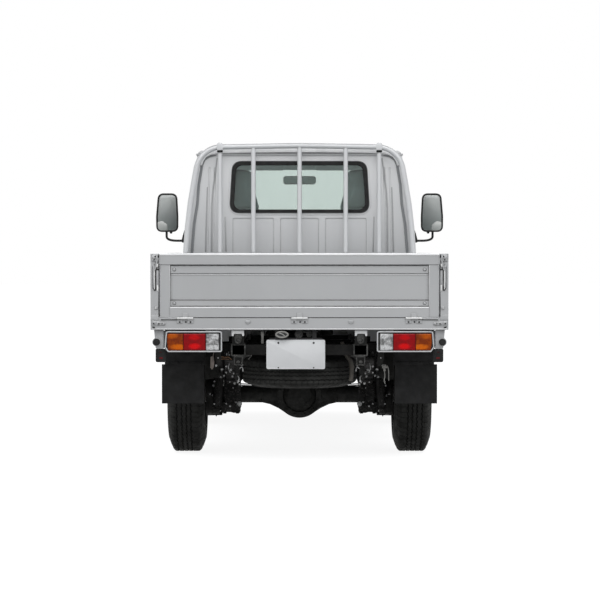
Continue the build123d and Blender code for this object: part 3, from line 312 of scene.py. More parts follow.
def lens(name, deep, highlight_colour, spots, cell=0.0055, speckle=0.25):
    """Moulded lens plastic over a dark reflector, with painted highlights where the reflector would throw
    light back.
    """
    look = Look(name)
    across, height, tall = look.maths("ABSOLUTE", look.along(0)), look.along(2), 0.016
    glow = None
    # painted highlight: a soft spot of the paler colour at each point
    for x, z, wide, strength in spots:
        squares = [look.maths("POWER", look.maths("DIVIDE", look.maths("SUBTRACT", value, middle), size), 2.0)
                   for value, middle, size in ((across, x, wide), (height, z, tall))]
        spot = look.ramp(look.maths("ADD", *squares), 0.0, 1.6, strength, 0.0)
        glow = look.maths("MAXIMUM", glow, spot) if glow else spot
    cells = look.node("TexVoronoi", {"Vector": look.where, "Scale": 1 / cell}, feature="SMOOTH_F1")
    cells, patch = cells.outputs["Distance"], look.clouds((60.0, 3.0, 0.6), 0.35, 0.7, 0.0, speckle)
    shade = look.blend(look.maths("ADD", glow, patch), deep, highlight_colour)
    shade = look.blend(look.ramp(cells, 0.35, 0.9, 0.0, speckle), shade, tinted(deep, 0.5))
    look.set(Base_Color=shade, Roughness=0.18, Normal=look.bump(cells, 0.0006, 0.25), Specular_IOR_Level=0.14)


def glassy(name, tint, rough=0.02):
    look = Look(name)
    look.set(Base_Color=look.blend(look.clouds((3.0, 5.0), 0.4, 0.75, 0.0, 0.3), tint, tinted(tint, 0.93)),
             Roughness=look.clouds((9.0, 6.0), 0.4, 0.8, rough, rough + 0.05),
             Transmission_Weight=1.0, IOR=1.42)


def mirrored(name, top, low, top_z, low_z):
    """Mirror glass whose colour is a painted reflection, darker towards its lower end where it would show the
    ground.
    """
    look = Look(name)
    shade = look.blend(look.ramp(look.along(2), low_z, top_z), low, top)
    shade = look.blend(look.clouds((10.0, 5.0), 0.4, 0.8, 0.0, 0.15), shade, tinted(low, 0.9))
    look.set(Base_Color=shade, Roughness=look.clouds((12.0, 5.0), 0.4, 0.8, 0.42, 0.50), Metallic=0.8)


def woven(name, colour):
    """Cloth: two crossed sets of threads, a little fuzz and faint wear."""
    look, pitch = Look(name), 0.003
    inputs = {"Vector": look.where, "Scale": 0.31416 / pitch, "Distortion": 0.6}
    threads = [look.node("TexWave", inputs, bands_direction=way).outputs["Fac"] for way in "XZ"]
    weave = look.times(*threads)
    shade = look.blend(weave, tinted(colour, 0.6), tinted(colour, 1.5))
    shade = look.blend(look.clouds((6.0, 5.0), 0.45, 0.8, 0.0, 0.3), shade, tinted(colour, 1.8))
    look.set(Base_Color=shade, Roughness=0.92, Normal=look.bump(weave, 0.0006, 0.6), Sheen_Weight=0.25)


SILVER = (0.425, 0.43, 0.435)
painted("paint_silver", SILVER)
painted("paint_hinged", SILVER, worn=0.9)
# paler copies of the silver, as painted highlight on edges, lines and brackets
painted("paint_highlight", SILVER, painted_highlight=0.85)
painted("paint_lit", SILVER, painted_highlight=0.3)
# the cab's back: a lighter copy of the silver, paler still towards its top, as painted light
painted("paint_back_lightened", tinted(SILVER, 1.17), painted_light_high=0.45)
# the guard: a lighter copy of the silver as painted light, darker where it faces up as painted shade
painted("paint_guard_light_and_shade", tinted(SILVER, 1.5), painted_top_shade=0.7)
# a darker copy of the silver, as painted shade along creases
painted("paint_crease_shade", tinted(SILVER, 0.86))
# dark grey for painted shade along the tailgate's seams, also used for the rings round its plugs
painted("paint_seam_shade", (0.14, 0.14, 0.14))
# grey for painted shade where the cab's back rounds away
painted("corner_shade_grey", (0.205, 0.213, 0.22))
painted("wheel_steel", (0.40, 0.405, 0.41), 0.5, 0.42)
chassis_paint("paint_frame", (0.004, 0.004, 0.0038))
chassis_paint("worn_black", (0.017, 0.017, 0.0165), 0.3, 0.4, 0.6)
chassis_paint("rail_grey", (0.052, 0.052, 0.050), 0.3, 0.3, 0.6)
chassis_paint("cast_dark", (0.033, 0.033, 0.031), 0.08, 0.35)
chassis_paint("spring_steel", (0.0115, 0.0112, 0.0108), 0.2, 0.5, 0.4)
rubbery("tyre", (0.033, 0.033, 0.031), 0.05, 420.0, 0.80)
rubbery("rubber", (0.0215, 0.0215, 0.0215), 0.04, 260.0, 0.62)
metal("galvanised", (0.30, 0.30, 0.29), 0.45, 0.3, 0.6, 0.6)
metal("bright_zinc", (0.78, 0.78, 0.77), 0.5, 0.0, 0.2, 0.2)
metal("dull_zinc", (0.27, 0.265, 0.25), 0.5, 0.6, 0.6, 0.3)
metal("reflector", (0.72, 0.72, 0.72), 0.16, 0.1, 0.2, 1.0)
plastic("primer", (0.30, 0.255, 0.225), 0.6, cloud=0.45)
plastic("copper", (0.22, 0.12, 0.065), cloud=0.5)
plastic("brown_pipe", (0.105, 0.095, 0.082), cloud=0.2)
plastic("black_plastic", (0.012, 0.012, 0.0125), 0.45)
plastic("lamp_bezel", (0.56, 0.565, 0.57), 0.32)
plastic("lamp_bowl", (0.30, 0.305, 0.31), 0.25, cloud=0.2)
plastic("dark_glass", (0.04, 0.042, 0.042), 0.12)
plastic("plate", (0.745, 0.75, 0.755), 0.42, cloud=0.02)
plastic("mirror_back", (0.05, 0.055, 0.052))
plastic("mirror_face_painted_reflection", (0.85, 0.95, 0.92), 0.4, cloud=0.03)
plastic("lining", (0.88, 0.98, 0.97), 0.6, cloud=0.01)
plastic("seal_grey", (0.075, 0.075, 0.077), 0.6)
plastic("interior", (0.030, 0.031, 0.031), 0.6, 700.0)
lens("lens_amber", (0.185, 0.022, 0.0), (0.66, 0.13, 0.0),
     ((0.680, 0.668, 0.045, 0.95), (0.715, 0.730, 0.03, 0.45)))
lens("lens_red", (0.25, 0.0, 0.003), (0.72, 0.002, 0.004),
     ((0.590, 0.672, 0.034, 1.0), (0.592, 0.722, 0.030, 0.55)), speckle=0.15)
lens("lens_clear", (0.17, 0.17, 0.17), (0.66, 0.66, 0.66),
     ((0.475, 0.664, 0.05, 0.9), (0.470, 0.728, 0.03, 0.7), (0.505, 0.70, 0.014, 0.4)), 0.0075, 0.75)
lens("dim_red", (0.035, 0.006, 0.007), (0.12, 0.010, 0.010), ((0.781, 0.604, 0.012, 0.8),))
glassy("glass", (0.735, 0.80, 0.775))
glassy("headlamp_glass", (0.95, 0.96, 0.96), 0.01)
mirrored("mirror", (0.37, 0.385, 0.38), (0.185, 0.205, 0.202), 1.61, 1.36)
mirrored("mirror_spot", (0.44, 0.45, 0.44), (0.32, 0.34, 0.33), 1.43, 1.35)
woven("seat_cloth", (0.235, 0.29, 0.285))

OWN_LOOKS = {"bed_deck": "paint_hinged", "tailgate": "paint_hinged", "side_gate_left": "paint_hinged",
             "side_gate_right": "paint_hinged", "cab_back": "paint_back_lightened", "guard_frame": "paint_guard_light_and_shade",
             "headlamps": "lamp_bowl"}
for part in frame["record"]["subparts"]:
    data = NODES[part["node"]].data
    data.materials.clear()
    data.materials.append(LOOKS[OWN_LOOKS.get(part["node"], part["material_slot"])])

# ---------------------------------------------------------------- building pieces, in millimetres
MM = 0.001
BACK, DOWN, UP, LEFT, RIGHT = (0, -1, 0), (0, 0, -1), (0, 0, 1), (-1, 0, 0), (1, 0, 0)
SIDES = (("left", -1), ("right", 1))
SHARP_ANGLE = 0.6  # edges sharper than this, in radians, are rounded
HEXAGON = 1.155  # across the corners, as a share of across the flats
EASE = 0.45  # share of a bar's straight length that a bend takes up


def circle(count, turn=0.0):
    return [2 * math.pi * k / count + turn for k in range(count)]


def pairs(items):
    """Each item with the next, round to the first again."""
    return list(zip(items, items[1:] + items[:1]))


def eased(a, here, b, steps):
    """Points on a curve from a to b that bends towards here."""
    shares = [k / steps for k in range(steps + 1)]
    return [a * (1 - t) ** 2 + here * 2 * t * (1 - t) + b * t ** 2 for t in shares]


def rounded(points, radius, steps=5):
    """A closed outline with its corners turned into arcs; radius is one number or one each."""
    radii = radius if isinstance(radius, (list, tuple)) else [radius] * len(points)
    out = []
    for i, (point, r) in enumerate(zip(points, radii)):
        here = Vector(point)
        a, b = Vector(points[i - 1]) - here, Vector(points[(i + 1) % len(points)]) - here
        reach = min(r / math.tan(a.angle(b) / 2), a.length * 0.49, b.length * 0.49)
        if reach > 0.001:
            out += eased(here + a.normalized() * reach, here, here + b.normalized() * reach, steps)
        else:
            out.append(here)
    return [tuple(point) for point in out]


def rect(x0, x1, z0, z1, radius=0, steps=5):
    corners = [(x0, z0), (x1, z0), (x1, z1), (x0, z1)]
    return rounded(corners, radius, steps) if radius else corners


def inset(points, amount):
    """An outline drawn in by an amount, for outlines that go round anticlockwise."""
    out = []
    for i, point in enumerate(points):
        a, here, b = Vector(points[i - 1]), Vector(point), Vector(points[(i + 1) % len(points)])
        into, away = (here - a).normalized(), (b - here).normalized()
        side = Vector((-into.y, into.x))
        inward = (side + Vector((-away.y, away.x))).normalized()
        out.append(tuple(here + inward * amount / max(0.3, inward.dot(side))))
    return out


def band(points, width):
    """An outline of even width along a line of points."""
    left, right = [], []
    for i, point in enumerate(points):
        before, after = Vector(points[max(i - 1, 0)]), Vector(points[min(i + 1, len(points) - 1)])
        along = (after - before).normalized()
        across = Vector((-along.y, along.x)) * width / 2
        left.append(tuple(Vector(point) + across))
        right.append(tuple(Vector(point) - across))
    return left + right[::-1]


def turned(at, axis):
    """Moves a shape made along z to a point, along an axis."""
    return Matrix.Translation(at) @ Vector(UP).rotation_difference(Vector(axis)).to_matrix().to_4x4()


class Piece:
    """One visible piece: its shapes join one mesh, which rides on a body."""

    unit = MM  # what the shapes' numbers are in
    face = 0  # where their y is measured from

    def __init__(self, name, slot="paint_silver", look=None, body="chassis"):
        self.name, self.body, self.slot = name, body, slot
        self.look = LOOKS[look or slot]
        self.bm = bmesh.new()

    def join(self, part):
        scrap = bpy.data.meshes.new("scrap")
        part.to_mesh(scrap)
        part.free()
        self.bm.from_mesh(scrap)
        bpy.data.meshes.remove(scrap)
        return self

    def take(self, part, bevel=0, steps=2, turn=Matrix()):
        """Round a shape's sharp edges, move it into place and add it."""
        part.transform(Matrix.Scale(self.unit, 4))
        bmesh.ops.recalc_face_normals(part, faces=part.faces[:])
        if bevel:
            sharp = [e for e in part.edges if e.is_manifold and e.calc_face_angle() > SHARP_ANGLE]
            bmesh.ops.bevel(part, geom=sharp, offset=bevel * self.unit, segments=steps, profile=0.5,
                            affect="EDGES", clamp_overlap=True)
        turn = Matrix.Translation((0, self.face, 0)) @ turn
        turn.translation *= self.unit
        part.transform(turn)
        return self.join(part)

    def skin(self, rings, closed=False, ends=True, **settings):
        """Faces between rings of points; a ring may be one point. The ends are closed by a face each."""
        part = bmesh.new()
        rows = []
        for ring in rings:
            corners = [part.verts.new(point) for point in (ring if ring[0] != ring[1] else ring[:1])]
            rows.append(corners if len(corners) > 1 else corners * len(ring))
        for low, high in pairs(rows) if closed else zip(rows, rows[1:]):
            for (a, b), (c, d) in zip(pairs(low), pairs(high)):
                corners = list(dict.fromkeys((a, b, d, c)))
                if len(corners) > 2:
                    part.faces.new(corners)
        if ends:
            part.faces.new(rows[0])
            part.faces.new(rows[-1])
        return self.take(part, **settings)

    def slab(self, outline, low, high, bevel=1.5, axis="y", hole=None, **settings):
        """An outline pushed from low to high along an axis, with an optional hole of as many points."""
        loops = [(outline, low), (outline, high)]
        if hole:
            loops = [(hole, low), *loops, (hole, high)]
        order = {"x": (2, 0, 1), "y": (0, 2, 1), "z": (0, 1, 2)}[axis]
        rings = [[[(a, b, t)[i] for i in order] for a, b in loop] for loop, t in loops]
        return self.skin(rings, bool(hole), not hole, bevel=bevel, **settings)

    def plate(self, points, radius, low, high, bevel=1.5, axis="y", **settings):
        return self.slab(rounded(points, radius), low, high, bevel, axis, **settings)

    def tile(self, x0, x1, z0, z1, low, high, radius=0, bevel=1.5, **settings):
        return self.slab(rect(x0, x1, z0, z1, radius), low, high, bevel, **settings)

    def lathe(self, profile, at, steps=24, axis=BACK, closed=False):
        """(along, radius) pairs turned about an axis through a point."""
        rings = [[(radius * math.cos(a), radius * math.sin(a), along) for a in circle(steps)]
                 for along, radius in profile]
        return self.skin(rings, closed, False, turn=turned(at, axis))

    def tube(self, points, radius, sides=8, closed=False, smooth=6, flat=1.0):
        """A round bar along a line whose corners are eased."""
        line = [Vector(p) for p in points]
        if smooth and len(line) > 2:
            ends = ([], []) if closed else (line[:1], line[-1:])
            middle = []
            for i in range(len(line)) if closed else range(1, len(line) - 1):
                a, here, b = line[i - 1], line[i], line[(i + 1) % len(line)]
                middle += eased(here + (a - here) * EASE, here, here + (b - here) * EASE, smooth)
            line = ends[0] + middle + ends[1]
        rings, side = [], None
        for i, point in enumerate(line):
            before = line[i - 1] if closed or i else point
            after = line[(i + 1) % len(line)] if closed or i < len(line) - 1 else point
            along = (after - before).normalized()
            side = side or along.orthogonal()
            side = (side - along * side.dot(along)).normalized()
            up = along.cross(side)
            rings.append([tuple(point + (side * math.cos(a) + up * math.sin(a) * flat) * radius)
                          for a in circle(sides)])
        return self.skin(rings, closed, not closed, bevel=0 if closed else radius * 0.25, steps=1)

    def bolt(self, at, across=17, tall=10, axis=BACK, washer=True):
        """A washer and a chamfered hexagon head standing up along the axis."""
        r = across / 2
        if washer:
            self.lathe([(-1, 0), (-1, r * 1.55), (1.5, r * 1.5), (2, 0)], at, 16, axis)
        head = [(HEXAGON * r * math.cos(a), HEXAGON * r * math.sin(a)) for a in circle(6)]
        return self.slab(head, 0, tall, 0.16 * r, "z", turn=turned(at, axis))

    def flip(self, part):
        """The same on the truck's other side."""
        part.transform(Matrix.Scale(-1, 4, RIGHT))
        bmesh.ops.reverse_faces(part, faces=part.faces[:])
        return part

    def mirror(self):
        return self.join(self.flip(self.bm.copy()))

    def done(self, sharp=35, replaces=()):
        mesh = bpy.data.meshes.new(self.name)
        self.bm.to_mesh(mesh)
        self.bm.free()
        mesh.polygons.foreach_set("use_smooth", [True] * len(mesh.polygons))
        mesh.set_sharp_from_angle(angle=math.radians(sharp))
        mesh.materials.append(self.look)
        obj = placed(self.name, mesh)
        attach(obj, self.body)
        if replaces:
            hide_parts(*replaces)


def both(name, make, body, slot="paint_silver", look=None, replaces=None):
    """Builds one piece for the right side and its mirror image for the left, on the side's own body."""
    for label, side in SIDES:
        piece = Piece(f"{name}_{label}", slot, look, body.format(label))
        make(piece)
        if side < 0:
            piece.flip(piece.bm)
        piece.done(replaces=[replaces.format(label)] if replaces else ())


# ---------------------------------------------------------------- tyres and wheels
BEAD_R, LIP = 168, 13
TREAD_DEEP, PITCHES = 8.5, 64
# around one pitch of the tread: angle share, cut depth share at the shoulders, zigzag of the grooves
PITCH_ROWS = ((0, 0, 0), (0.42, 0, 1), (0.5, 0, 0.6), (0.52, 1, 0.5), (0.60, 1, 0.2), (0.62, 0, 0.15))
TREAD_GROOVES = (0.45, 0.18, -0.06, -0.30)  # centres, in halves of the tyre's width, the outer side positive
GROOVE = ((-0.046, 0), (-0.036, 1), (0.036, 1), (0.046, 0))
# the flank from the tread down: share of the half width, and drop from the tread's radius
WALL = ((0.62, 0), (0.70, 5.5), (0.77, 15), (0.80, 24), (0.86, 36), (0.93, 58), (0.97, 73), (0.985, 75),
        (0.99, 88), (1, 112), (1, 118), (0.985, 130), (0.965, 132))
NUT_CIRCLE_R, VALVE_R = 57.15, 136


def tyre(name, node, body, centre, radius, width, side=1, lying=False):
    """A tyre round its axis: ribs with zigzag grooves, cut shoulders, a moulded sidewall and beads."""
    half, bead = width / 2, BEAD_R + LIP
    flank = [(share, radius - drop) for share, drop in WALL]
    flank += [(0.95, bead + 26), (0.86, bead + 13), (0.78, bead + 4), (0.76, bead), (0.76, BEAD_R),
              (0.6, BEAD_R), (0.80, radius - 110), (0.6, radius - 28)]
    flank = [(share * half, r, 0) for share, r in flank]
    tread = [((groove + offset) * half, radius - deep * TREAD_DEEP, 1)
             for groove in sorted(side * share for share in TREAD_GROOVES) for offset, deep in GROOVE]
    profile = flank[::-1] + tread[::-1] + [(-x, r, 0) for x, r, follows in flank]
    rings = []
    for pitch in range(PITCHES):
        for share, cut, zig in PITCH_ROWS:
            angle = 2 * math.pi * (pitch + share) / PITCHES
            ring = []
            for x, r, follows in profile:
                if 0.62 * half <= abs(x) <= 0.87 * half and r > radius - 40:
                    r -= cut * 5
                x += follows * (zig - 0.5) * 0.05 * half
                ring.append((x, r * math.cos(angle), r * math.sin(angle)))
            rings.append(ring)
    turn = Matrix.Translation(centre)
    if lying:
        turn = turn @ Matrix.Rotation(math.pi / 2, 4, "Y")
    piece = Piece(f"tread_{name}", "tyre", body=body)
    piece.skin(rings, True, False, turn=turn)
    # ribs moulded round both sidewalls
    for side_x in (-1, 1):
        for drop, proud in ((80, 0), (150, -1.5)):
            foot, crest = 0.966 * half, 0.992 * half + proud
            rib = ((foot, 2), (crest, 0), (crest, -3), (foot, -5))
            loops = [[(side_x * x, (radius - drop + up) * math.cos(a), (radius - drop + up) * math.sin(a))
                      for x, up in rib] for a in circle(96)]
            piece.skin(loops, True, False, turn=turn)
    piece.done(30, [node])


def wheel_details(body, side, centre, disc):
    """Five nuts and studs, a grease cap and a valve on the outer face of a wheel's disc."""
    nuts, out = Piece(f"wheel_nuts_{body}", "galvanised", body=body), Vector((side, 0, 0))
    centre = Vector(centre)
    for a in circle(5):
        at = centre + out * disc + NUT_CIRCLE_R * Vector((0, math.cos(a), math.sin(a)))
        nuts.bolt(at, 21, 16, out)
        nuts.lathe([(16, 0), (16, 6), (21, 5.5), (22.5, 3), (22.5, 0)], at, 12, out)
    cap = [(0, 29.5), (12, 30.5), (17, 29), (22, 24), (24.5, 12), (25, 0)]
    nuts.lathe(cap, centre + out * (disc + 18), 32, out)
    nuts.done()
    valve = Piece(f"valve_{body}", "rubber", body=body)
    valve.lathe([(0, 0), (0, 7), (10, 5.5), (12, 4), (32, 3.8), (34, 2.5), (34, 0)],
                centre + out * (disc - 12) + Vector((0, 0, VALVE_R)), 12, (side, 0, 0.25))
    valve.done()


for label, side in SIDES:
    wheels = (("rear", (side * 673, -1235, 342), 30, 342, 222),
              ("front", (side * 735, 985, 330), 34, 330, 174))
    for end, at, disc, radius, width in wheels:
        tyre(f"{end}_{label}", f"{end}_tyre_{label}", f"{end}_wheel_{label}", at, radius, width, side)
    for end, at, disc, radius, width in wheels:
        wheel_details(f"{end}_wheel_{label}", side, at, disc)
tyre("spare", "spare_tyre", "chassis", (0, -1735, 516), 330, 184, lying=True)

# ---------------------------------------------------------------- load bed fittings
TAIL = -2125
HOOP_Y = 325
Piece.face = TAIL


def post_latch(p):
    """The tailgate's latch on the side gate's rear post: knob, hook, lever and striker plate."""
    p.plate([(792, 1150), (832, 1150), (832, 1183), (820, 1191.5), (792, 1191.5)], [4, 5, 8, 6, 4], -5, 1, 2)
    p.lathe([(0, 12.5), (4, 12.5), (6, 10), (6, 6), (9, 5.5), (10, 0)], (819, -1.5, 1170), 20)
    p.tube([(802, -6, 1178), (799, -7, 1150), (806, -7, 1128), (812, -6, 1100)], 4.8)
    p.tube([(817, -5, 1128), (819.5, -6, 1075), (818.5, -5, 1000)], 4.2)
    p.tile(792.5, 803, 1022, 1100, -3, 1, 3)
    p.tile(797, 813, 878, 899, -3, 1, 3)
    p.bolt((805, -3, 889), 9, 4, washer=False)
    p.tile(792.5, 837.2, 819.5, 850, -2.2, 0.5, 1, 0.6)


def post_slot_shade(p):
    """Painted shade: dark plastic in the slot that the lever lies in, and in the hook's eye."""
    p.tile(806.5, 814.5, 984, 1118, -1.2, 1, 3.9, 0.4)
    p.tile(822, 825.5, 996, 1122, -1, 1, 1.7, 0.3)
    p.lathe([(0, 5.5), (3.5, 5.5), (3.5, 0)], (806, 0, 1166), 16)
    p.tile(788, 791.2, 842, 1135, 6, 30, 1.2, 0.5)


both("post_latch", post_latch, "side_gate_{}")
both("post_slot_shade", post_slot_shade, "side_gate_{}", "black_plastic")


def latch_shadows(p):
    """Painted shade: dark rubber in the gaps round the hook, its eye and the lever."""
    arch = [(817, -5.5, 1155), (815, -5.5, 1174), (807, -5.5, 1180), (799, -5.5, 1166), (794, -5.5, 1142)]
    p.tube(arch, 3.1)
    p.tube([(812, -4, 1132), (808, -4, 1112), (800, -4, 1102), (789, -4, 1104)], 2.9)
    p.tube([(789.5, -3, 1134), (788.5, -3, 1104)], 2.6, smooth=0)
    p.plate([(789, 1168), (796.5, 1172), (794.5, 1186), (789, 1184)], 2, -6.2, 0, 0.4)
    p.tube([(821.5, -3, 1080), (822, -3, 1010), (820, -3, 994), (814, -3, 984), (809, -3, 989),
        (808, -3, 1010)], 1.7)
    p.plate([(788.5, 838), (792.5, 838), (793.5, 900), (792.5, 978), (788.5, 978)], 1.5, -0.5, 12, 0.4)


def latch_highlights(p):
    """Painted highlights: bright zinc on the hook, eye rivets and lever, so that they stand out on the post.
    """
    p.plate([(818.5, 1158), (827.5, 1158), (826.5, 1174), (820, 1176)], 3, -7.5, -4, 1.2)
    p.plate([(794.5, 1118), (805.5, 1118), (807.5, 1137), (792.5, 1137)], 5, -9.5, -5, 1.8)
    p.lathe([(0, 5.2), (2, 5), (3, 3), (3, 0)], (800.5, -6.5, 1151.5), 18)
    p.tube([(815.5, -5.5, 1106), (815.5, -7, 1050), (815, -5.5, 992)], 3.7, 10)
    p.tile(793.5, 801.5, 984, 1018, -3.5, 0, 3, 1)
    p.lathe([(0, 6.2), (2, 5.8), (3, 3.5), (3, 0)], (807, -3.5, 886.5), 18)


both("latch_shadows", latch_shadows, "side_gate_{}", "rubber")
both("latch_highlights", latch_highlights, "side_gate_{}", "galvanised", "bright_zinc")

# the corner plate under the post, with its bolts, and a pressed tab on the sill
p = Piece("sill_corners")
p.plate([(752, 792), (832, 786), (832, 818), (752, 806)], [7, 6, 6, 7], -3, 1, 1.2)
for x, z in ((818, 802), (793, 800), (765, 799)):
    p.bolt((x, -3, z), 12, 6)
p.tile(276, 304, 803, 819, -5, 1, 4, 2)
p.tile(283, 297, 797, 804, -3, 1, 2)
p.mirror().done()
# dark discs by the bolts, a dark patch below the corner plate and a strip under the gate, as painted shade
p = Piece("corner_shadows", "rubber")
for x, z, r in ((819.5, 800.5, 4.2), (790.5, 799, 4.2), (772, 801, 2.6)):
    p.lathe([(0, r), (1.5, r * 0.9), (2, 0)], (x, -9, z), 14)
p.plate([(812.5, 772.5), (826, 776), (828.5, 783), (813.5, 780.5)], 2.5, -2.5, 2, 0.6)
p.tile(663, 780, 819, 822.8, -3, 1, 1.5, 0.4)
p.mirror().done()

# dark rings round the plugs, in the dark grey
dots = Piece("tailgate_plugs", look="paint_seam_shade", body="tailgate")
domes = Piece("tailgate_plug_caps", body="tailgate")
for x in (-704.5, 704.5):
    for z in (1103, 914):
        at = (x, 9.2, z)
        dots.lathe([(0, 10), (1.6, 9.8), (2, 8.2), (0, 7.8)], at, 28, closed=True)
        domes.lathe([(0, 8), (2.8, 7.2), (4, 4.5), (4.4, 0)], at, 28)
dots.done()
domes.done()

# pressed lines across the tailgate: their upper edges and the panel's sides in paler paint as painted
# highlight, dark strips of painted shade along the seams, and a dark strip of painted shade in the gap above
# the sill
p = Piece("tailgate_bevel_highlights", look="paint_highlight", body="tailgate")
p.plate([(-1.2, 886.5), (6, 886.5), (6, 893.5), (1, 893.5)], 0.6, -728.5, 728.5, 0.5, "x")
p.done()
p = Piece("tailgate_swage_highlights", look="paint_lit", body="tailgate")
p.plate([(13, 1071.5), (17, 1071.5), (17, 1078), (14.5, 1078)], 0.6, -727.5, 727.5, 0.5, "x")
for x in (-733.5, 729):
    p.tile(x, x + 4.5, 893, 1130.5, 2.2, 6, 0, 0.8)
p.done()
p = Piece("tailgate_seam_shadows", look="paint_seam_shade", body="tailgate")
p.slab([(7.8, 928.5), (16, 928.5), (16, 935), (14.5, 935)], -727, 727, 0.4, "x")
for x in (-727, 727):
    p.tile(x - 2.5, x + 2.5, 1083.5, 1130, 7.5, 13, 0, 0.3)
p.done()
p = Piece("tailgate_gap_shade", "rubber")
p.tile(-655, 655, 829.8, 834.5, 1.2, 12, 0, 0.8)
p.done()
# dark dots of painted shadow under the hinges' barrels
p = Piece("hinge_shadow_dots", "rubber")
for x in (-643, 0, 643):
    for dx in (-30, 4, 30):
        p.lathe([(0, 4.8), (3.5, 4.2), (3.8, 0)], (x + dx, 0 if dx == 4 else -3, 808.5), 12)
p.done()

# rolled edges along the tailgate's top, the side gates' tops and the bottom of the sill, in paint made paler
# as a painted highlight
p = Piece("tailgate_top_roll", look="paint_highlight", body="tailgate")
p.plate([(-1.5, 1183), (31.5, 1183), (31.5, 1192.5), (28.5, 1194.5), (3, 1194.5), (-1.5, 1191.5)],
    [0.5, 0.5, 2, 2, 4, 3], -786.5, 786.5, 0.8, "x")
p.done()
p = Piece("sill_roll", look="paint_lit")
p.tube([(-830, 2.5, 768.5), (830, 2.5, 768.5)], 4.5, 10, smooth=0)
for x in (-834, 834):
    p.tube([(x, 10, 768.5), (x, HOOP_Y - TAIL, 768.5)], 4.5, 10, smooth=0)
p.done()


def gate_roll(p):
    p.plate([(806.5, 1184.5), (838.5, 1184.5), (838.5, 1191.5), (835.5, 1194.5), (809.5, 1194.5),
        (806.5, 1191.5)], [0.5, 0.5, 2, 3, 3, 2], 42, 243 - TAIL, 0.8)


both("side_gate_roll", gate_roll, "side_gate_{}", look="paint_highlight")


def gate_outside(p):
    """Lashing hooks and a latch plate on the side gate's outer panel."""
    for y in (425, 905, 1385, 1865):
        p.tube([(837.5, y - 35, 872), (841.5, y - 35, 866), (841.5, y, 858), (841.5, y + 35, 866),
            (837.5, y + 35, 872)], 1.8)
    for y in (105, 2295):
        p.tile(y - 22, y + 22, 1090, 1160, 836, 840.5, 6, 1, axis="x")
        for z in (1145, 1105):
            p.bolt((840.5, y, z), 10, 2.5, RIGHT, False)


both("gate_fittings", gate_outside, "side_gate_{}")

# hooks for a rope under the sills
p = Piece("rope_hooks", "paint_frame")
for y in (505, 1075, 1725, 2265):
    p.tube([(822, y - 30, 768), (822, y - 30, 738), (826, y, 728), (822, y + 30, 738),
        (822, y + 30, 768)], 5)
p.mirror().done()

# clamps that hold the guard's hoop, and plates at the feet of its bars
Piece.face = HOOP_Y
p = Piece("guard_clamps", look="paint_guard_light_and_shade")
for x in (538, -538):
    p.plate([(x - 21, 1886), (x + 21, 1886), (x + 21, 1926), (x + 12, 1937.5), (x - 12, 1937.5),
        (x - 21, 1926)], 8, -19.5, 12, 4, steps=3)
for x in (0, 312, -312, 538, -538):
    p.tile(x - 32, x + 32, 1150, 1192.5, -34.5, -31, 6, 1)
p.done()
# dark strips of painted shadow under the clamps
p = Piece("guard_clamp_shadows", "rubber")
for x in (538, -538):
    p.tile(x - 19, x + 19, 1873, 1885, -21, 4, 3, 1)
p.done()

# ---------------------------------------------------------------- lamps, plate and mud flaps
LAMP_FACE, LENS_FACE = 10, 4
Piece.face = TAIL

BEZEL = [(435.5, 638.5), (740.5, 638.5), (760, 665), (751.5, 756.5), (435.5, 756.5)]
bezel_outer = rounded(BEZEL, [12, 10, 18, 14, 16])
p = Piece("lamp_bezel", "lamp_bezel")
p.slab(inset(bezel_outer, 1), LAMP_FACE, 75, 2, hole=inset(bezel_outer, 16.5))
p.slab(inset(bezel_outer, 1), 45, 75, 2)
p.slab(bezel_outer, LAMP_FACE - 9.5, LAMP_FACE + 4, 2.5, steps=3, hole=inset(bezel_outer, 7.5))
p.mirror().done(replaces=["lamp_housings"])
p = Piece("lamp_gasket", "rubber")
p.slab(inset(bezel_outer, 7), LAMP_FACE - 4.5, LAMP_FACE + 2, 0.6, hole=inset(bezel_outer, 15.5))
for x0, x1, proud in ((526.2, 528.2, 3.5), (653, 654.6, 3)):
    p.tile(x0, x1, 647.5, 742.5, LENS_FACE - proud, LENS_FACE + 4, 0, 0.4)
p.mirror().done()
p = Piece("lamp_brackets")
p.plate([(765.5, 657), (810.5, 657), (819.5, 764.3), (765.5, 764.3)], [3, 8, 1, 3], 26, 34)
p.tile(700, 768, 660, 758, 60, 66, 4, 1)
p.mirror().done()


def lens_face(piece, x0, x1, z0=648.5, z1=742, pyramid=2.4, slant=0):
    """A lens block with a rounded rim and a face of small pyramids; slant trims its lower outer corner."""
    across, up = round((x1 - x0) / pyramid), round((z1 - z0) / pyramid)
    part, grid = bmesh.new(), []
    for i in range(across + 1):
        column = []
        for k in range(up + 1):
            z = z0 + (z1 - z0) * k / up
            x = x0 + (x1 - slant * max(0, 1 - (z - z0) / 36) - x0) * i / across
            near = min(i, across - i, k, up - k)
            proud = (0, 1.8, 2.6)[min(near, 2)] + (0.6 if near > 2 and (i + k) % 2 else 0)
            column.append(part.verts.new((x, LENS_FACE - proud, z)))
        grid.append(column)
    back = [[part.verts.new((v.co.x, LENS_FACE + 26, v.co.z)) for v in (column[0], column[-1])]
            for column in (grid[0], grid[-1])]
    for low, high in zip(grid, grid[1:]):
        for k in range(up):
            part.faces.new((low[k], high[k], high[k + 1], low[k + 1]))
    for column, ends in zip((grid[0], grid[-1]), back):
        part.faces.new(column + ends[::-1])
    for end in (0, -1):
        part.faces.new([column[end] for column in grid] + [back[1][end], back[0][end]])
    part.faces.new(back[0] + back[1][::-1])
    piece.take(part)


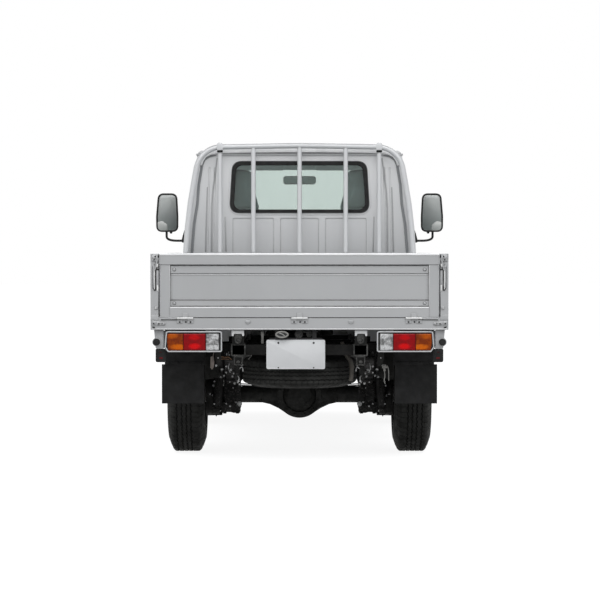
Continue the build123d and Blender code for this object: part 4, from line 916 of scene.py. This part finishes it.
for name, x0, x1, slant in (("lens_clear", 454.5, 526.2, 0), ("lens_red", 528.2, 653, 0),
                            ("lens_amber", 654.6, 743.5, 4)):
    piece = Piece(f"{name}_moulded", name)
    lens_face(piece, x0, x1, slant=slant)
    piece.mirror().done(25, [] if slant else [name])
# the shadow of the bulb and its socket behind each lens
p = Piece("lamp_bulbs", "galvanised")
for x, z in ((489, 694), (586, 700), (694, 706)):
    p.lathe([(0, 10), (6, 12), (12, 9), (16, 0)], (x, LENS_FACE + 22, z), 16)
p.mirror().done()

# ---- number plate with a raised rim, rounded corners and its bolts
PLATE_X, PLATE_Z = -21, 624.5
p = Piece("number_plate_pressed", "plate")
outer = rect(PLATE_X - 165.5, PLATE_X + 165.5, PLATE_Z - 83, PLATE_Z + 83, 11, 6)
p.slab(outer, 20, 22.2, 0.8)
p.slab(inset(outer, 2), 18.8, 20.5, 0.7, hole=inset(outer, 5.2))
p.done(40, replaces=["number_plate"])
p = Piece("plate_bracket", "black_plastic")
for x in (PLATE_X - 105, PLATE_X + 105):
    p.tile(x - 12, x + 12, 560, 764.5, 22.2, 25.5, 3)
p.tile(PLATE_X - 150, PLATE_X + 150, 690, 718, 22.5, 27.5, 4)
for x, z in ((-119, 690), (80, 690)):
    p.bolt((x, 19.8, z), 7.2, 3.5)
for x, z in ((-119, 550), (80, 550)):
    p.lathe([(0, 4.2), (1.2, 3.8), (1.4, 0)], (x, 20, z), 12)
p.done()

p = Piece("plate_lamp", "lamp_bezel", "dull_zinc")
oval = [(-98.5 + 38.5 * math.cos(a), 737.5 + 20.5 * math.sin(a)) for a in circle(36)]
p.slab(oval, -3, 6, 3, steps=3, hole=inset(oval, 10))
p.done()
p = Piece("tow_socket", "black_plastic", "rail_grey")
for x, r in ((-4, 24), (55, 17)):
    p.lathe([(0, r), (6, r), (8, r - 2), (8, r - 6), (3, r - 8), (3, 0)], (x, 45, 738), 28)
p.tube([(15, 40, 752), (60, 40, 750), (105, 45, 752)], 4)
p.done()
p = Piece("plate_lamp_glass", "lens_clear", "dark_glass")
p.slab(inset(oval, 9), -0.5, 6)
p.done()
p = Piece("plate_lamp_bulb", "galvanised")
p.tube([(-113, -1.8, 745.5), (-94, -3, 739.5), (-83, -1.8, 729)], 3.5)
p.done()


# the rubber flap with a slow bend, its steel bracket, the round buffer and the reflector's box
FLAP_Y, ROWS, COLS = 275, 16, 10
p, part = Piece("mud_flaps_moulded", "rubber"), bmesh.new()
layers = []
for thick in (-3, 3):
    layers.append([[part.verts.new((549 + 243 * c / COLS, FLAP_Y + thick + 4 * math.sin(math.pi * r / ROWS)
                                    * math.cos(2.2 * c / COLS), 556 - 226 * r / ROWS))
                    for c in range(COLS + 1)] for r in range(ROWS + 1)])
for layer in layers:
    for low, high in zip(layer, layer[1:]):
        for c in range(COLS):
            part.faces.new((low[c], low[c + 1], high[c + 1], high[c]))
rims = [layer[0] + [row[-1] for row in layer[1:]] + layer[-1][-2::-1] + [row[0] for row in layer[-2:0:-1]]
        for layer in layers]
for (a, b), (c, d) in zip(pairs(rims[0]), pairs(rims[1])):
    part.faces.new((a, b, d, c))
p.take(part)
p.tile(540.5, 774.5, 552.5, 764, FLAP_Y - 10.5, FLAP_Y + 10.5, 3, 2)
p.tile(550, 765, 556, 572, FLAP_Y - 14.5, FLAP_Y - 9.5, 3, 1.2)
for x in (572, 640, 700, 752):
    p.bolt((x, FLAP_Y - 14.5, 564), 12, 5)
p.plate([(752.5, 580.5), (811.5, 580.5), (811.5, 655.5), (752.5, 655.5)], [4, 12, 7, 7], 28, 58, 3)
p.lathe([(-12, 0), (-12, 19.5), (19, 19.5), (23, 17.5), (24, 12), (22, 0)], (805, 18, 695), 32)
p.mirror().done(replaces=["mud_flaps"])
p = Piece("reflector_marks", "lens_red", "dim_red")
p.tile(776, 790, 634, 640, 27, 28.5, 2, 0.5)
p.tile(770, 792, 598, 610, 26.8, 28.5, 4, 0.5)
p.mirror().done()
p = Piece("buffer_rings")
p.slab([(805 + 24.5 * math.cos(a), 695 + 24.5 * math.sin(a)) for a in circle(36)], 24, 31)
p.mirror().done()

# ---- tie-down brackets and the ends of the frame rails
Piece.face = 0
# the tie-down brackets in the paler paint, as painted highlight
p = Piece("tie_brackets", look="paint_highlight")
u_shape = [(312, 728.5), (322.5, 728.5), (326.5, 741.5), (368, 741.5), (372, 728.5), (382.5, 728.5),
    (382.5, 760.5), (312, 760.5)]
p.plate(u_shape, 2, -2101, -2097.5, 1)
p.mirror().done()
p = Piece("tie_tongues", "galvanised", "rail_grey")
EYE_X, EYE_Z, EYE_R, TONGUE_HALF = 346, 705, 9.2, 19.5
ring, eye = [], []
for a in circle(40):
    upper = math.sin(a) >= 0.3
    rise = 30 * min(1, math.sin(a) * 1.5) if upper else TONGUE_HALF * math.sin(a)
    ring.append((EYE_X + TONGUE_HALF * math.cos(a) * (1.12 if upper else 1), EYE_Z + rise))
    eye.append((EYE_X + EYE_R * math.cos(a), EYE_Z + EYE_R * math.sin(a)))
p.slab(ring, -2100.5, -2097.5, 0.9, hole=eye)
p.plate([(332, 728), (362, 728), (366, 742), (326, 742)], 3, -2099.5, -2096, 1)
wear = [(EYE_X + 18.5 * math.cos(a), -2101.2, EYE_Z + 18.5 * math.sin(a))
        for a in (math.pi * (1.12 + 0.095 * k) for k in range(9))]
p.tube(wear, 1.9, smooth=0)
p.mirror().done()
p = Piece("rail_end_rings", "paint_frame", "rail_grey")
outer = rect(303.5, 386.5, 613.5, 684.5, 10)
p.slab(outer, -2093.5, -2089.5, 1.2, hole=inset(outer, 8.5))
outer = rounded([(322, 562), (368, 562), (372, 613.5), (319, 613.5)], 6)
p.slab(outer, -2093.5, -2088.5, 1.2, hole=inset(outer, 6))
p.bolt((346, -2092.5, 580), 14, 6)
p.mirror().done()

# ---------------------------------------------------------------- axle, springs and brakes underneath
AXLE_Y, AXLE_Z = -1235, 342
Piece.face = AXLE_Y

p = Piece("axle_casing_web", "cast_dark")
web = [(235, 297), (178, 284), (127, 260), (90.6, 236), (51, 213.5), (22, 208.5)]
p.slab(web + [(-x, z) for x, z in web[::-1]] + [(-235, 372), (235, 372)], -50, 50, 16, steps=3)
p.lathe([(-16, 100), (-16, 131), (-12, 134.5), (4, 134.5), (8, 131), (8, 100)],
    (0, -94, AXLE_Z), 64, (0, 1, 0), closed=True)
p.lathe([(0, 0), (0, 16), (12, 15), (14, 0)], (52, -138, AXLE_Z - 52), 18)
for angle in circle(12, math.pi / 12):
    p.bolt((117 * math.cos(angle), -110, AXLE_Z + 117 * math.sin(angle)), 13, 8)
p.done()

p = Piece("brake_plates", "cast_dark")
p.lathe([(488, 60), (492, 112), (499, 124), (512, 127.5), (551, 128.5), (553, 122), (545, 60)],
    (0, 0, AXLE_Z), 64, RIGHT, closed=True)
p.lathe([(500, 127), (500, 133.5), (505, 134.5), (507, 127)], (0, 0, AXLE_Z), 64, RIGHT, closed=True)
for angle in (0.5, 1.7, 2.6, 3.9, 5.4):
    p.bolt((491, 88 * math.cos(angle), AXLE_Z + 88 * math.sin(angle)), 14, 10, LEFT)
p.lathe([(0, 0), (0, 20), (20, 19), (24, 12), (24, 0)], (490, 0, AXLE_Z + 96), 20, LEFT)
p.mirror().done()

p = Piece("spring_seats", "paint_frame", "worn_black")
p.plate([(360, 234), (398, 234), (412, 238.5), (452, 238.5), (470, 228), (500, 226), (500, 300),
    (360, 300)], 6, -70, 60, 3)
p.plate([(468, 222), (502, 222), (508, 330), (486, 400), (470, 330)], 8, -80, -68, 2)
p.plate([(352, 268), (372, 256), (386, 268), (386, 400), (352, 385)], 8, -78, -66, 2)
for dx, dy in ((373, -62), (449, -62), (373, 52), (449, 52)):
    p.bolt((dx, dy, 240), 20, 10, DOWN)
p.plate([(380, 300), (448, 300), (456, 336), (450, 418), (380, 418), (372, 336)], 5, -68, -58, 2)
p.mirror().done()

p = Piece("bump_stops", "rubber")
profile = [(0, 0), (0, 24), (10, 24.5), (18, 19), (30, 22.5), (44, 23), (52, 18), (64, 20), (84, 16),
    (98, 9), (102, 0)]
p.lathe(profile, (358.5, 60, 520), 28, DOWN)
p.mirror().done()
p = Piece("stop_brackets", "paint_frame", "worn_black")
p.plate([(335, 518), (382, 518), (382, 600), (372, 600), (360, 545), (335, 532)], 4, 20, 100, 2)
p.plate([(336, 430), (352, 424), (352, 452), (368, 470), (368, 548), (341, 548), (341, 482),
    (334, 470)], 5, -670, -664)
p.mirror().done()

Piece.face = 0
# splash plates between the frame and the wheels, with the small parts clipped to them
p = Piece("splash_plates", "cast_dark")
p.plate([(452, 470), (551, 455), (553, 640), (500, 672), (452, 672)], 10, -1640, -1634, 2)
p.tile(451.5, 462, 470, 672, -1660, -1634, 2, 1)
for x, z in ((466, 640), (530, 618), (470, 500), (536, 480)):
    p.bolt((x, -1640, z), 11, 7)
p.plate([(446, 560), (470, 545), (482, 610), (470, 700), (446, 700)], 6, -1980, -1974)
p.mirror().done()

p = Piece("shackles", "paint_frame", "worn_black")
for y in (-1752, -730):
    for x, outer, toward in ((372, 372, LEFT), (446, 452, RIGHT)):
        p.plate([(y - 20, 470), (y + 20, 470), (y + 26, 600), (y - 26, 600)], 16, x, x + 6, axis="x")
        for z in (492, 576):
            p.bolt((outer, y, z), 18, 11, toward)
p.mirror().done()

p = Piece("spring_clips", "paint_frame", "worn_black")
for y in (-1520, -950):
    p.slab(rect(376.5, 445.5, 440, 506, 4), y - 12, y + 12, 1, hole=rect(381, 441, 444.5, 501.5, 2))
    p.bolt((445.5, y, 474), 12, 8, RIGHT)
p.mirror().done()

p = Piece("shock_covers", "paint_frame", "worn_black")
top, foot = Vector((490, -1330, 640)), Vector((497, -1420, 262))
along = (foot - top).normalized()
reach = (foot - top).length
p.lathe([(20, 0), (20, 24), (24, 28.5), (190, 28.5), (192, 26.5), (192, 21), (reach - 20, 21),
    (reach - 12, 17), (reach, 17), (reach, 0)], top, 28, along)
p.lathe([(-22, 0), (-22, 22), (-18, 24), (18, 24), (22, 22), (22, 0)], foot, axis=RIGHT)
p.mirror().done()

p = Piece("brake_pipes", "spring_steel")
for z, y in ((392, -1288), (400, -1276)):
    p.tube([(-480, y, z + 20), (-440, y, z + 12), (-200, y, z), (-130, y, z + 12), (-60, y + 20, z + 50),
        (60, y + 20, z + 50), (130, y, z + 12), (200, y, z), (440, y, z + 12), (480, y, z + 20)], 3.5)
for k in range(4):
    x = 352 - 6 * k
    p.tube([(x, -1860 + 20 * k, 660), (x, -1800, 620 - 12 * k), (x + 10, -1620, 580),
        (x + 12, -1400, 585)], 3.5)
p.done()


def scatter(p):
    """Small bright parts: nuts, split pins, clip ends and cable ends."""
    spots = [(360, 290, -1316, 20), (416, 276, -1308, 11), (382, 300, -1306, 10), (508, 428, -1395, 10),
        (514, 405, -1397, 9), (520, 345, -1372, 11), (536, 352, -1372, 8), (506, 298, -1452, 9),
        (449, 522, -1770, 10), (425, 505, -1772, 8), (424, 540, -1772, 8), (440, 480, -1700, 9),
        (396, 520, -1772, 9), (380, 500, -1772, 8), (392, 474, -1640, 8), (460, 470, -1655, 9),
        (384, 425, -1500, 10), (414, 432, -1480, 7), (474, 556, -1986, 8), (398, 385, -1305, 8),
        (442, 290, -1306, 7), (476, 250, -1322, 8), (330, 556, -1910, 10), (349, 462, -1910, 9),
        (343, 445, -1910, 7), (462, 600, -1990, 7)]
    for k, (x, z, y, across) in enumerate(spots):
        p.bolt((x, y, z), across, across * 0.8, Vector((0.35 * math.sin(2.1 * k), -1.0,
            0.4 * math.cos(1.7 * k))).normalized(), k % 2 == 0)
    p.tube([(343, -1906, 535), (326, -1930, 548), (322, -1935, 520)], 3.5)
    p.tube([(352, -1906, 492), (344, -1930, 478), (353, -1935, 455)], 3)
    p.tube([(405, -1780, 560), (412, -1790, 530), (400, -1790, 505)], 2.8)


both("loose_hardware", scatter, "chassis", "galvanised", "bright_zinc")

p = Piece("brake_valve", "galvanised", "dull_zinc")
p.tile(470, 494, 540, 562, -2000, -1978, 0, 4, steps=3)
p.lathe([(0, 7), (14, 7), (18, 4), (18, 0)], (482, -1989, 540), 16, (0.2, 0, -1))
p.bolt((482, -2000, 551), 9, 6)
p.bolt((494, -1989, 548), 9, 8, RIGHT)
p.tube([(484, -1985, 522), (487, -1985, 495), (481, -1985, 470), (488, -1985, 452)], 3.2)
p.tube([(500, -1985, 556), (508, -1985, 530), (508, -1985, 470)], 3)
p.done()

# a moulded clip, a plated pipe end and the spare carrier's hook
p = Piece("handbrake_clip", "galvanised", "primer")
p.plate([(-506, 604), (-490, 612), (-484, 575), (-488, 545), (-498, 530), (-507, 545)], 4, -1990, -1975, 3)
p.tube([(-494, -1985, 600), (-485, -1985, 640), (-484, -1985, 655)], 2.8)
p.done()
p = Piece("plated_pipes", "galvanised", "copper")
p.tube([(-466, -1975, 598), (-445, -1975, 607), (-425, -1975, 600), (-405, -1975, 606),
    (-386, -1975, 588)], 3)
p.tube([(-460, -1970, 588), (-430, -1970, 594), (-400, -1970, 590)], 2.2)
p.done()
p = Piece("carrier_hook", "galvanised", "dull_zinc")
p.tube([(-291, -1950, 648), (-276, -1950, 640), (-266, -1950, 664)], 3.5)
p.tube([(-274, -1950, 641), (-272, -1950, 612), (-292, -1950, 590)], 3)
p.tile(-216.5, -202, 684, 752, -2062, -2057, 2, 1)
p.done()

# the rigid filler pipe beside the spare wheel, fixed at both ends
p = Piece("drain_pipe", "galvanised", "brown_pipe")
p.tube([(243, -1950, 690), (252, -1950, 645), (270, -1950, 608), (296.5, -1950, 575), (297.5, -1950, 500),
    (292, -1950, 465)], 12.5, 16)
p.lathe([(-6, 12.5), (-6, 15.5), (6, 15.5), (6, 12.5)], (297.2, -1950, 548), 20, UP, closed=True)
p.done()

# ---------------------------------------------------------------- cab
Piece.face = 405  # the cab's back

EDGE = [(737, 1160), (732, 1202), (717, 1390), (695, 1525), (685, 1659), (668, 1760), (663, 1793),
    (648, 1828), (614, 1851), (570, 1862)]
# painted shade: a grey band where the cab's back rounds into its sides, and a line under the roof's edge
p = Piece("cab_back_corner_shade", look="corner_shade_grey")
p.slab(band(EDGE, 17.5), -4.5, 4)
p.mirror()
p.tile(-575, 575, 1857.5, 1865.5, -4.5, 4, 3, 1)
p.done()
# the roof's drip edge in the paler paint, as painted highlight
p = Piece("roof_drip", look="paint_highlight")
RAIN = [(679, 1790), (668, 1824), (645, 1856), (605, 1877), (555, 1886), (300, 1890.5), (0, 1892.5)]
p.slab(band(RAIN + [(-x, z) for x, z in RAIN[-2::-1]], 34), -12, 6, 5, steps=3)
p.done()

# darker bands of painted shade along the creases pressed in the cab's back
p = Piece("cab_back_crease_shades", look="paint_crease_shade")
CREASE = [(560, 1838), (566, 1790), (571, 1745), (578, 1700), (586, 1650), (592, 1590), (597, 1500),
    (598, 1400), (600, 1200)]
p.slab(band(CREASE, 9), -3, 2, 2.5)
p.slab(band([(627, 1640), (630, 1560), (634, 1440), (640, 1200)], 7), -2.8, 2, 2)
p.slab(band([(506, 1440), (500, 1200)], 7), -2.8, 2, 2)
p.mirror().done()

p = Piece("rear_window_lip", "rubber", "seal_grey")
outer = rounded([(-479.5, 1463), (479.5, 1463), (458.5, 1818.5), (-458.5, 1818.5)], 72, 10)
p.slab(outer, -6.5, 2, 2, hole=inset(outer, 6))
p.done()
p = Piece("rear_window_rubber", "rubber")
hole = rounded([(-448.5, 1489), (448.5, 1489), (429, 1788.5), (-429, 1788.5)], 52, 10)
p.slab(inset(outer, 5), -7.5, 4, 3, hole=hole)
p.done()

# lining, visors and mirror seen through the rear window
Piece.face = 0
p = Piece("roof_lining", "interior", "lining")
p.plate([(-640, 1798), (640, 1798), (630, 1858), (-630, 1858)], 12, 1500, 1512, 4)
for side in (-1, 1):
    p.tile(side * 115, side * 600, 1793.5, 1855, 1472, 1492, 16, 6, steps=3)
    p.tube([(side * 100, 1482, 1846), (side * 610, 1482, 1846)], 4.5, 10)
p.done()
p = Piece("interior_mirror_head", "black_plastic", "mirror_back")
shape = rounded([(-119, 1697), (119, 1697), (121, 1757.5), (-121, 1757.5)], 22)
p.slab(shape, 1622, 1646, 8, steps=3)
p.slab(shape, 1619, 1624, hole=inset(shape, 3.5))
p.tube([(0, 1640, 1735), (0, 1650, 1790), (0, 1640, 1850)], 7, 12)
p.done(replaces=["interior_mirror"])
# the glass is a pale plastic, its colour a painted reflection
p = Piece("interior_mirror_glass", "mirror", "mirror_face_painted_reflection")
p.slab(inset(shape, 4), 1619.5, 1622.5, 0.8)
p.done()

# ---------------------------------------------------------------- door mirrors
Piece.face = 1625
HEAD = rounded([(894, 1346), (1056, 1346), (1057.5, 1460), (1043, 1631), (902, 1631), (893, 1460)],
    [46, 46, 300, 46, 46, 300], 8)


def mirror_head(p):
    p.slab(inset(HEAD, 1), -6, 34, 14, steps=4)
    p.slab(HEAD, -18, -2, 4, steps=3, hole=inset(HEAD, 12.5))
    p.tube([(981, 10, 1352), (981, 10, 1282), (800, 10, 1282)], 8.5, 14, smooth=9)
    p.lathe([(-4, 0), (-4, 10), (4, 10.5), (12, 7), (13, 0)], (948, 6, 1347), 18, DOWN)
    p.lathe([(0, 10.5), (16, 12.5), (18, 0)], (981, 10, 1366), 18, DOWN)
    p.plate([(868, 1268), (868, 1294), (857, 1335), (846, 1366), (797, 1366), (797, 1268)],
        [6, 8, 20, 8, 2, 2], -14, 30, 6, steps=3)
    p.bolt((846, -14, 1286), 10, 4, washer=False)


def mirror_glass(p):
    p.slab(inset(HEAD, 11.5), -12.5, -8.5, 1)


def spot_glass(p):
    outline = rounded([(970, 1356.5), (1044, 1356.5), (1046, 1418), (1012, 1429), (974, 1400)],
        [4, 36, 8, 30, 16], 8)
    p.slab(outline, -16.5, -12, 2, steps=3)


both("door_mirror_head", mirror_head, "door_{}", "black_plastic", replaces="door_mirror_{}")
both("door_mirror_glass", mirror_glass, "door_{}", "mirror")
both("door_mirror_spot", spot_glass, "door_{}", "mirror", "mirror_spot")

# ---------------------------------------------------------------- seats, in metres
Piece.unit, Piece.face = 1, 0
VOXEL, CLOTH_FRAMES, PUFF_LIMIT = 0.010, 20, 0.024
CHANNEL_WIDE, CHANNEL_DEEPEST, FAR = 0.009, 0.009, 1.0
SEAT_X = 0.42


def baked(obj):
    mesh = bpy.data.meshes.new_from_object(obj.evaluated_get(bpy.context.evaluated_depsgraph_get()))
    obj.modifiers.clear()
    obj.data = mesh
    return mesh


def puff(obj, rests):
    """Blows the form up as cloth, held where it rests, and limits how far it moves."""
    rest = [v.co.copy() for v in obj.data.vertices]
    group = obj.vertex_groups.new(name="held")
    group.add([i for i, co in enumerate(rest) if rests(co)], 1.0, "REPLACE")
    cloth = obj.modifiers.new("puff", "CLOTH")
    cloth.settings.use_pressure = True
    cloth.settings.uniform_pressure_force = 4.0
    cloth.settings.tension_stiffness = cloth.settings.compression_stiffness = 18.0
    cloth.settings.vertex_group_mass = "held"
    cloth.settings.effector_weights.gravity = 0.0
    cloth.point_cache.frame_start, cloth.point_cache.frame_end = 1, CLOTH_FRAMES
    for frame_number in range(1, CLOTH_FRAMES + 1):
        bpy.context.scene.frame_set(frame_number)
    for vert, co in zip(baked(obj).vertices, rest):
        move = vert.co - co
        if move.length > PUFF_LIMIT:
            vert.co = co + move.normalized() * PUFF_LIMIT
    bpy.context.scene.frame_set(1)
    obj.vertex_groups.clear()


def cushion(name, shape, rests, channels):
    """A padded form: remeshed evenly, puffed up, then drawn in at its sewn channels; one for each seat."""
    start = Piece(name, "seat_cloth")
    shape(start)
    mesh = bpy.data.meshes.new(name)
    start.bm.to_mesh(mesh)
    start.bm.free()
    obj = placed(name, mesh)
    remesh = obj.modifiers.new("even", "REMESH")
    remesh.mode, remesh.voxel_size = "VOXEL", VOXEL
    baked(obj)
    puff(obj, rests)
    normals = [v.normal.copy() for v in obj.data.vertices]
    for vert, normal in zip(obj.data.vertices, normals):
        pull = sum(deep * math.exp(-(distance(vert.co) / CHANNEL_WIDE) ** 2) for distance, deep in channels)
        vert.co -= normal * min(pull, CHANNEL_DEEPEST)
    smooth = obj.modifiers.new("fine", "SUBSURF")
    smooth.levels = smooth.render_levels = 1
    mesh = baked(obj)
    bpy.data.objects.remove(obj)
    mesh.polygons.foreach_set("use_smooth", [True] * len(mesh.polygons))
    mesh.materials.clear()
    mesh.materials.append(LOOKS["seat_cloth"])
    for label, side in SIDES:
        copy = placed(f"{name}_{label}", mesh.copy())
        copy.data.transform(Matrix.Translation((side * SEAT_X, 0, 0)))
        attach(copy, "chassis")
        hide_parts("seats")


LEAN = (0.650 - 0.545) / 0.80


def seat_back_shape(p):
    half = [(-0.216, 1.015), (-0.214, 1.350), (-0.168, 1.495), (-0.142, 1.590), (-0.112, 1.674),
            (-0.093, 1.778)]
    radii = [0.03, 0.09, 0.06, 0.15, 0.15, 0.04]
    outline = rounded(half + [(0, 1.789)] + [(-x, z) for x, z in half[::-1]], radii + [0.04] + radii[::-1])
    lean = Matrix(((1, 0, 0, 0), (0, 1, -LEAN, LEAN), (0, 0, 1, 0), (0, 0, 0, 1)))
    p.slab(outline, 0.582, 0.672, 0.028, steps=3, turn=lean)


def seat_cushion_shape(p):
    p.tile(-0.222, 0.222, 0.904, 1.012, 0.660, 1.262, 0.02, 0.026, steps=3)


def on_front(co):
    return co.y > 0.627 - (co.z - 1.0) * LEAN


def on_top(co):
    return co.z > 0.96


# each channel: how far a point is from its line, in metres, and how deep it draws the cloth in
cushion("seat_back", seat_back_shape, lambda co: co.z < 1.03,
        [(lambda co: abs(co.x) - 0.120 if on_front(co) and co.z < 1.36 else FAR, 0.006),
         (lambda co: co.z - 1.355 if on_front(co) and abs(co.x) < 0.2 else FAR, 0.006),
         (lambda co: co.z - 1.195 if on_front(co) and abs(co.x) < 0.12 else FAR, 0.005),
         (lambda co: co.z - 1.495, 0.009)])
cushion("seat_cushion", seat_cushion_shape, lambda co: co.z < 0.912,
        [(lambda co: abs(co.x) - 0.125 if on_top(co) else FAR, 0.006),
         (lambda co: co.y - 0.86 if abs(co.x) < 0.125 and on_top(co) else FAR, 0.005),
         (lambda co: co.y - 1.06 if abs(co.x) < 0.125 and on_top(co) else FAR, 0.005)])

# ---------------------------------------------------------------- front and sides
Piece.unit = MM


def surface(*nodes):
    """The outside of some CAD nodes, in millimetres, for laying trim on."""
    corners, faces = [], []
    for name in nodes:
        node = NODES[name]
        node.data.calc_loop_triangles()
        base = len(corners)
        corners += [node.matrix_world @ v.co / MM for v in node.data.vertices]
        faces += [[base + i for i in tri.vertices] for tri in node.data.loop_triangles]
    return BVHTree.FromPolygons(corners, faces)


def hit(tree, a, b, toward=BACK):
    """Where a line meets a surface, and its normal: over (x, z) from the front or (y, z) from a side."""
    start = (a, 3000, b) if toward[1] else (-3000 * toward[0], a, b)
    return tree.ray_cast(Vector(start), Vector(toward))


def laid(tree, outline, toward=BACK, proud=0, gaps=20):
    """A closed outline laid on a surface, raised by proud."""
    out = []
    for a, b in pairs([Vector(point) for point in outline]):
        steps = max(1, int((b - a).length / gaps))
        out += [hit(tree, *a.lerp(b, k / steps), toward)[0] for k in range(steps)]
    return [point - Vector(toward) * proud for point in out if point]


def bar(tree, a, b, toward, proud, gaps, across):
    """A line laid on a surface: half of the closed outline from a to b and back, sorted along an axis."""
    row = laid(tree, [a, b], toward, proud, gaps)
    return sorted(row[:len(row) // 2 + 1], key=lambda point: point[across])


NOSE = surface("cab_front", "bumper", "headlamps", "cab_glass", "window_seals")
LAMP_Z = 790

trim = Piece("headlamp_trims", "lamp_bezel")
outline = rect(440, 760, 712, 868, 40, 6)
trim.tube(laid(surface("cab_front"), outline, BACK, 6, 12.1), 6.5, 10, closed=True, smooth=0)
units = Piece("headlamp_units", "mirror", "reflector")
lenses = Piece("headlamp_lenses", "lens_clear", "headlamp_glass")
for x, r in ((533, 58), (655, 42)):
    at, normal = hit(NOSE, x, LAMP_Z)[:2]
    lean = (normal * 0.35 + Vector((0, 0.65, 0))).normalized()
    rim = [(-6, r + 4), (-2, r + 8), (3, r + 7), (3, r + 1), (-2, r - 2), (-6, r - 2)]
    trim.lathe(rim, at, 48, lean, True)
    units.lathe([(-8, 0), (-3, r * 0.30), (-1, r * 0.55), (0, r * 0.80), (0.8, r), (-10, r)], at, 48, lean)
    units.lathe([(-4, 0), (-4, r * 0.22), (2.5, r * 0.20), (3.5, 0)], at, 24, lean)
    lenses.lathe([(1.2, r * 0.99), (3.5, r * 0.85), (6.2, r * 0.55), (7.5, r * 0.25), (7.8, 0), (4.8, 0),
                  (4.5, r * 0.25), (3.2, r * 0.55), (1.2, r * 0.85)], at, 48, lean)
for piece in (trim, units, lenses):
    piece.mirror().done()

p = Piece("intake_bars", "black_plastic")
for z in (437, 452.5, 468, 483.5):
    p.tube(bar(NOSE, (-322, z), (322, z), BACK, 4, 40, 0), 3.4, smooth=0)
for k in range(-5, 6):
    p.tube([hit(NOSE, k * 60, z)[0] + Vector((0, 2, 0)) for z in (430, 447, 462, 478, 492)], 2.8, smooth=0)
for z in (734.5, 772.5, 807.5, 844.5):
    p.tube(bar(NOSE, (-378, z), (378, z), BACK, 1, 30, 0), 8.5, smooth=0, flat=0.7)
p.done()


def wiper(p, pivot, tip):
    """A wiper parked along the bottom of the windscreen: arm, pivot, blade and its rubber."""
    pivot, tip = Vector(pivot), Vector(tip)
    on = [hit(NOSE, *pivot.lerp(tip, k / 10)) for k in range(11)]
    arm = [at[0] + at[1] * (16 + 10 * math.sin(math.pi * k / 10)) for k, at in enumerate(on)]
    p.tube(arm[:8], 5.5, 10, smooth=2, flat=0.6)
    p.lathe([(-4, 16), (12, 16), (20, 12), (22, 0)], on[0][0], 24, on[0][1])
    rest = [hit(NOSE, *(pivot.lerp(tip, 0.30 + 0.75 * k / 12) - Vector((0, 14 * math.sin(math.pi * k / 12)))))
            for k in range(13)]
    p.tube([at[0] + at[1] * 4 for at in rest], 3.5, smooth=0)
    p.tube([at[0] + at[1] * 10 for at in rest[1:-1]], 4.2, smooth=0)
    p.tube([arm[7], rest[6][0] + rest[6][1] * 12], 5)


p = Piece("wipers", "black_plastic")
wiper(p, (460, 1168), (-20, 1262))
wiper(p, (-120, 1168), (-600, 1262))
p.done()

p = Piece("windscreen_lip", "rubber", "seal_grey")
outline = rounded([(-700, 1160), (700, 1160), (640, 1850), (-640, 1850)], 80, 8)
p.tube(laid(NOSE, inset(outline, -2), BACK, -1), 4.5, closed=True, smooth=0)
p.done()

# door window rubbers, locks, handles and inner trim
WINDOW = rounded([(760, 1200), (770, 1770), (1530, 1770), (1590, 1420), (1590, 1200)], 50, 6)
for label, side in SIDES:
    body, toward, out = f"door_{label}", (-side, 0, 0), Vector((side, 0, 0))
    door = surface(body, f"door_glass_{label}")
    p = Piece(f"door_window_rubber_{label}", "rubber", body=body)
    p.tube(laid(door, inset(WINDOW, -4), toward), 8.5, 10, closed=True, smooth=0, flat=0.5)
    p.tube(laid(door, [(1372, 1206), (1372, 1764)], toward, 1)[:29], 8, 10, smooth=0)
    p.done()
    p = Piece(f"door_lock_{label}", "galvanised", body=body)
    at = hit(door, 742, 1070, toward)[0]
    p.lathe([(-3, 12), (2, 12), (3.5, 10.5), (3.5, 4.5), (1, 4), (1, 0)], at, 24, out)
    p.done()
    p = Piece(f"door_handle_{label}", "black_plastic", body=body)
    line = bar(door, (738, 1128), (882, 1128), toward, 4, 12, 1)
    p.tube([line[0] - out * 14] + line + [line[-1] - out * 14], 8.5, 12, smooth=3, flat=0.8)
    p.done()
    p = Piece(f"door_inner_trim_{label}", "interior", body=body)
    outline = [(800, 880), (1500, 880), (1560, 1000), (1560, 1150), (800, 1150)]
    p.plate(outline, 30, side * 712, side * 722, 3, "x")
    p.tube([(side * x, y, 1085) for x, y in ((712, 950), (682, 970), (682, 1170), (712, 1190))], 10, 12)
    p.lathe([(0, 22), (12, 22), (16, 18), (16, 0)], (side * 712, 1360, 1040), 24, toward)
    p.done()

# the tank's strap bands and cap
p = Piece("tank_straps", "galvanised")
for y in (-360, 10):
    p.tile(382.5, 772.5, 327.5, 608.5, y - 16, y + 16, 22, 1, hole=rect(385.5, 769.5, 330.5, 605.5, 20))
    p.bolt((600, y, 608.5), 14, 12, UP)
p.done()
p = Piece("tank_cap", "black_plastic")
p.lathe([(0, 34), (10, 36), (26, 36), (34, 32), (36, 24), (36, 0)], (768, -300, 535), 32, (1, 0, 0.25))
quarter = Matrix.Rotation(math.pi / 2, 4, "Z")
p.tile(-26, 26, -6, 6, 0, 12, 3, 2, turn=Matrix.Translation((803, -300, 544)) @ quarter)
p.done()
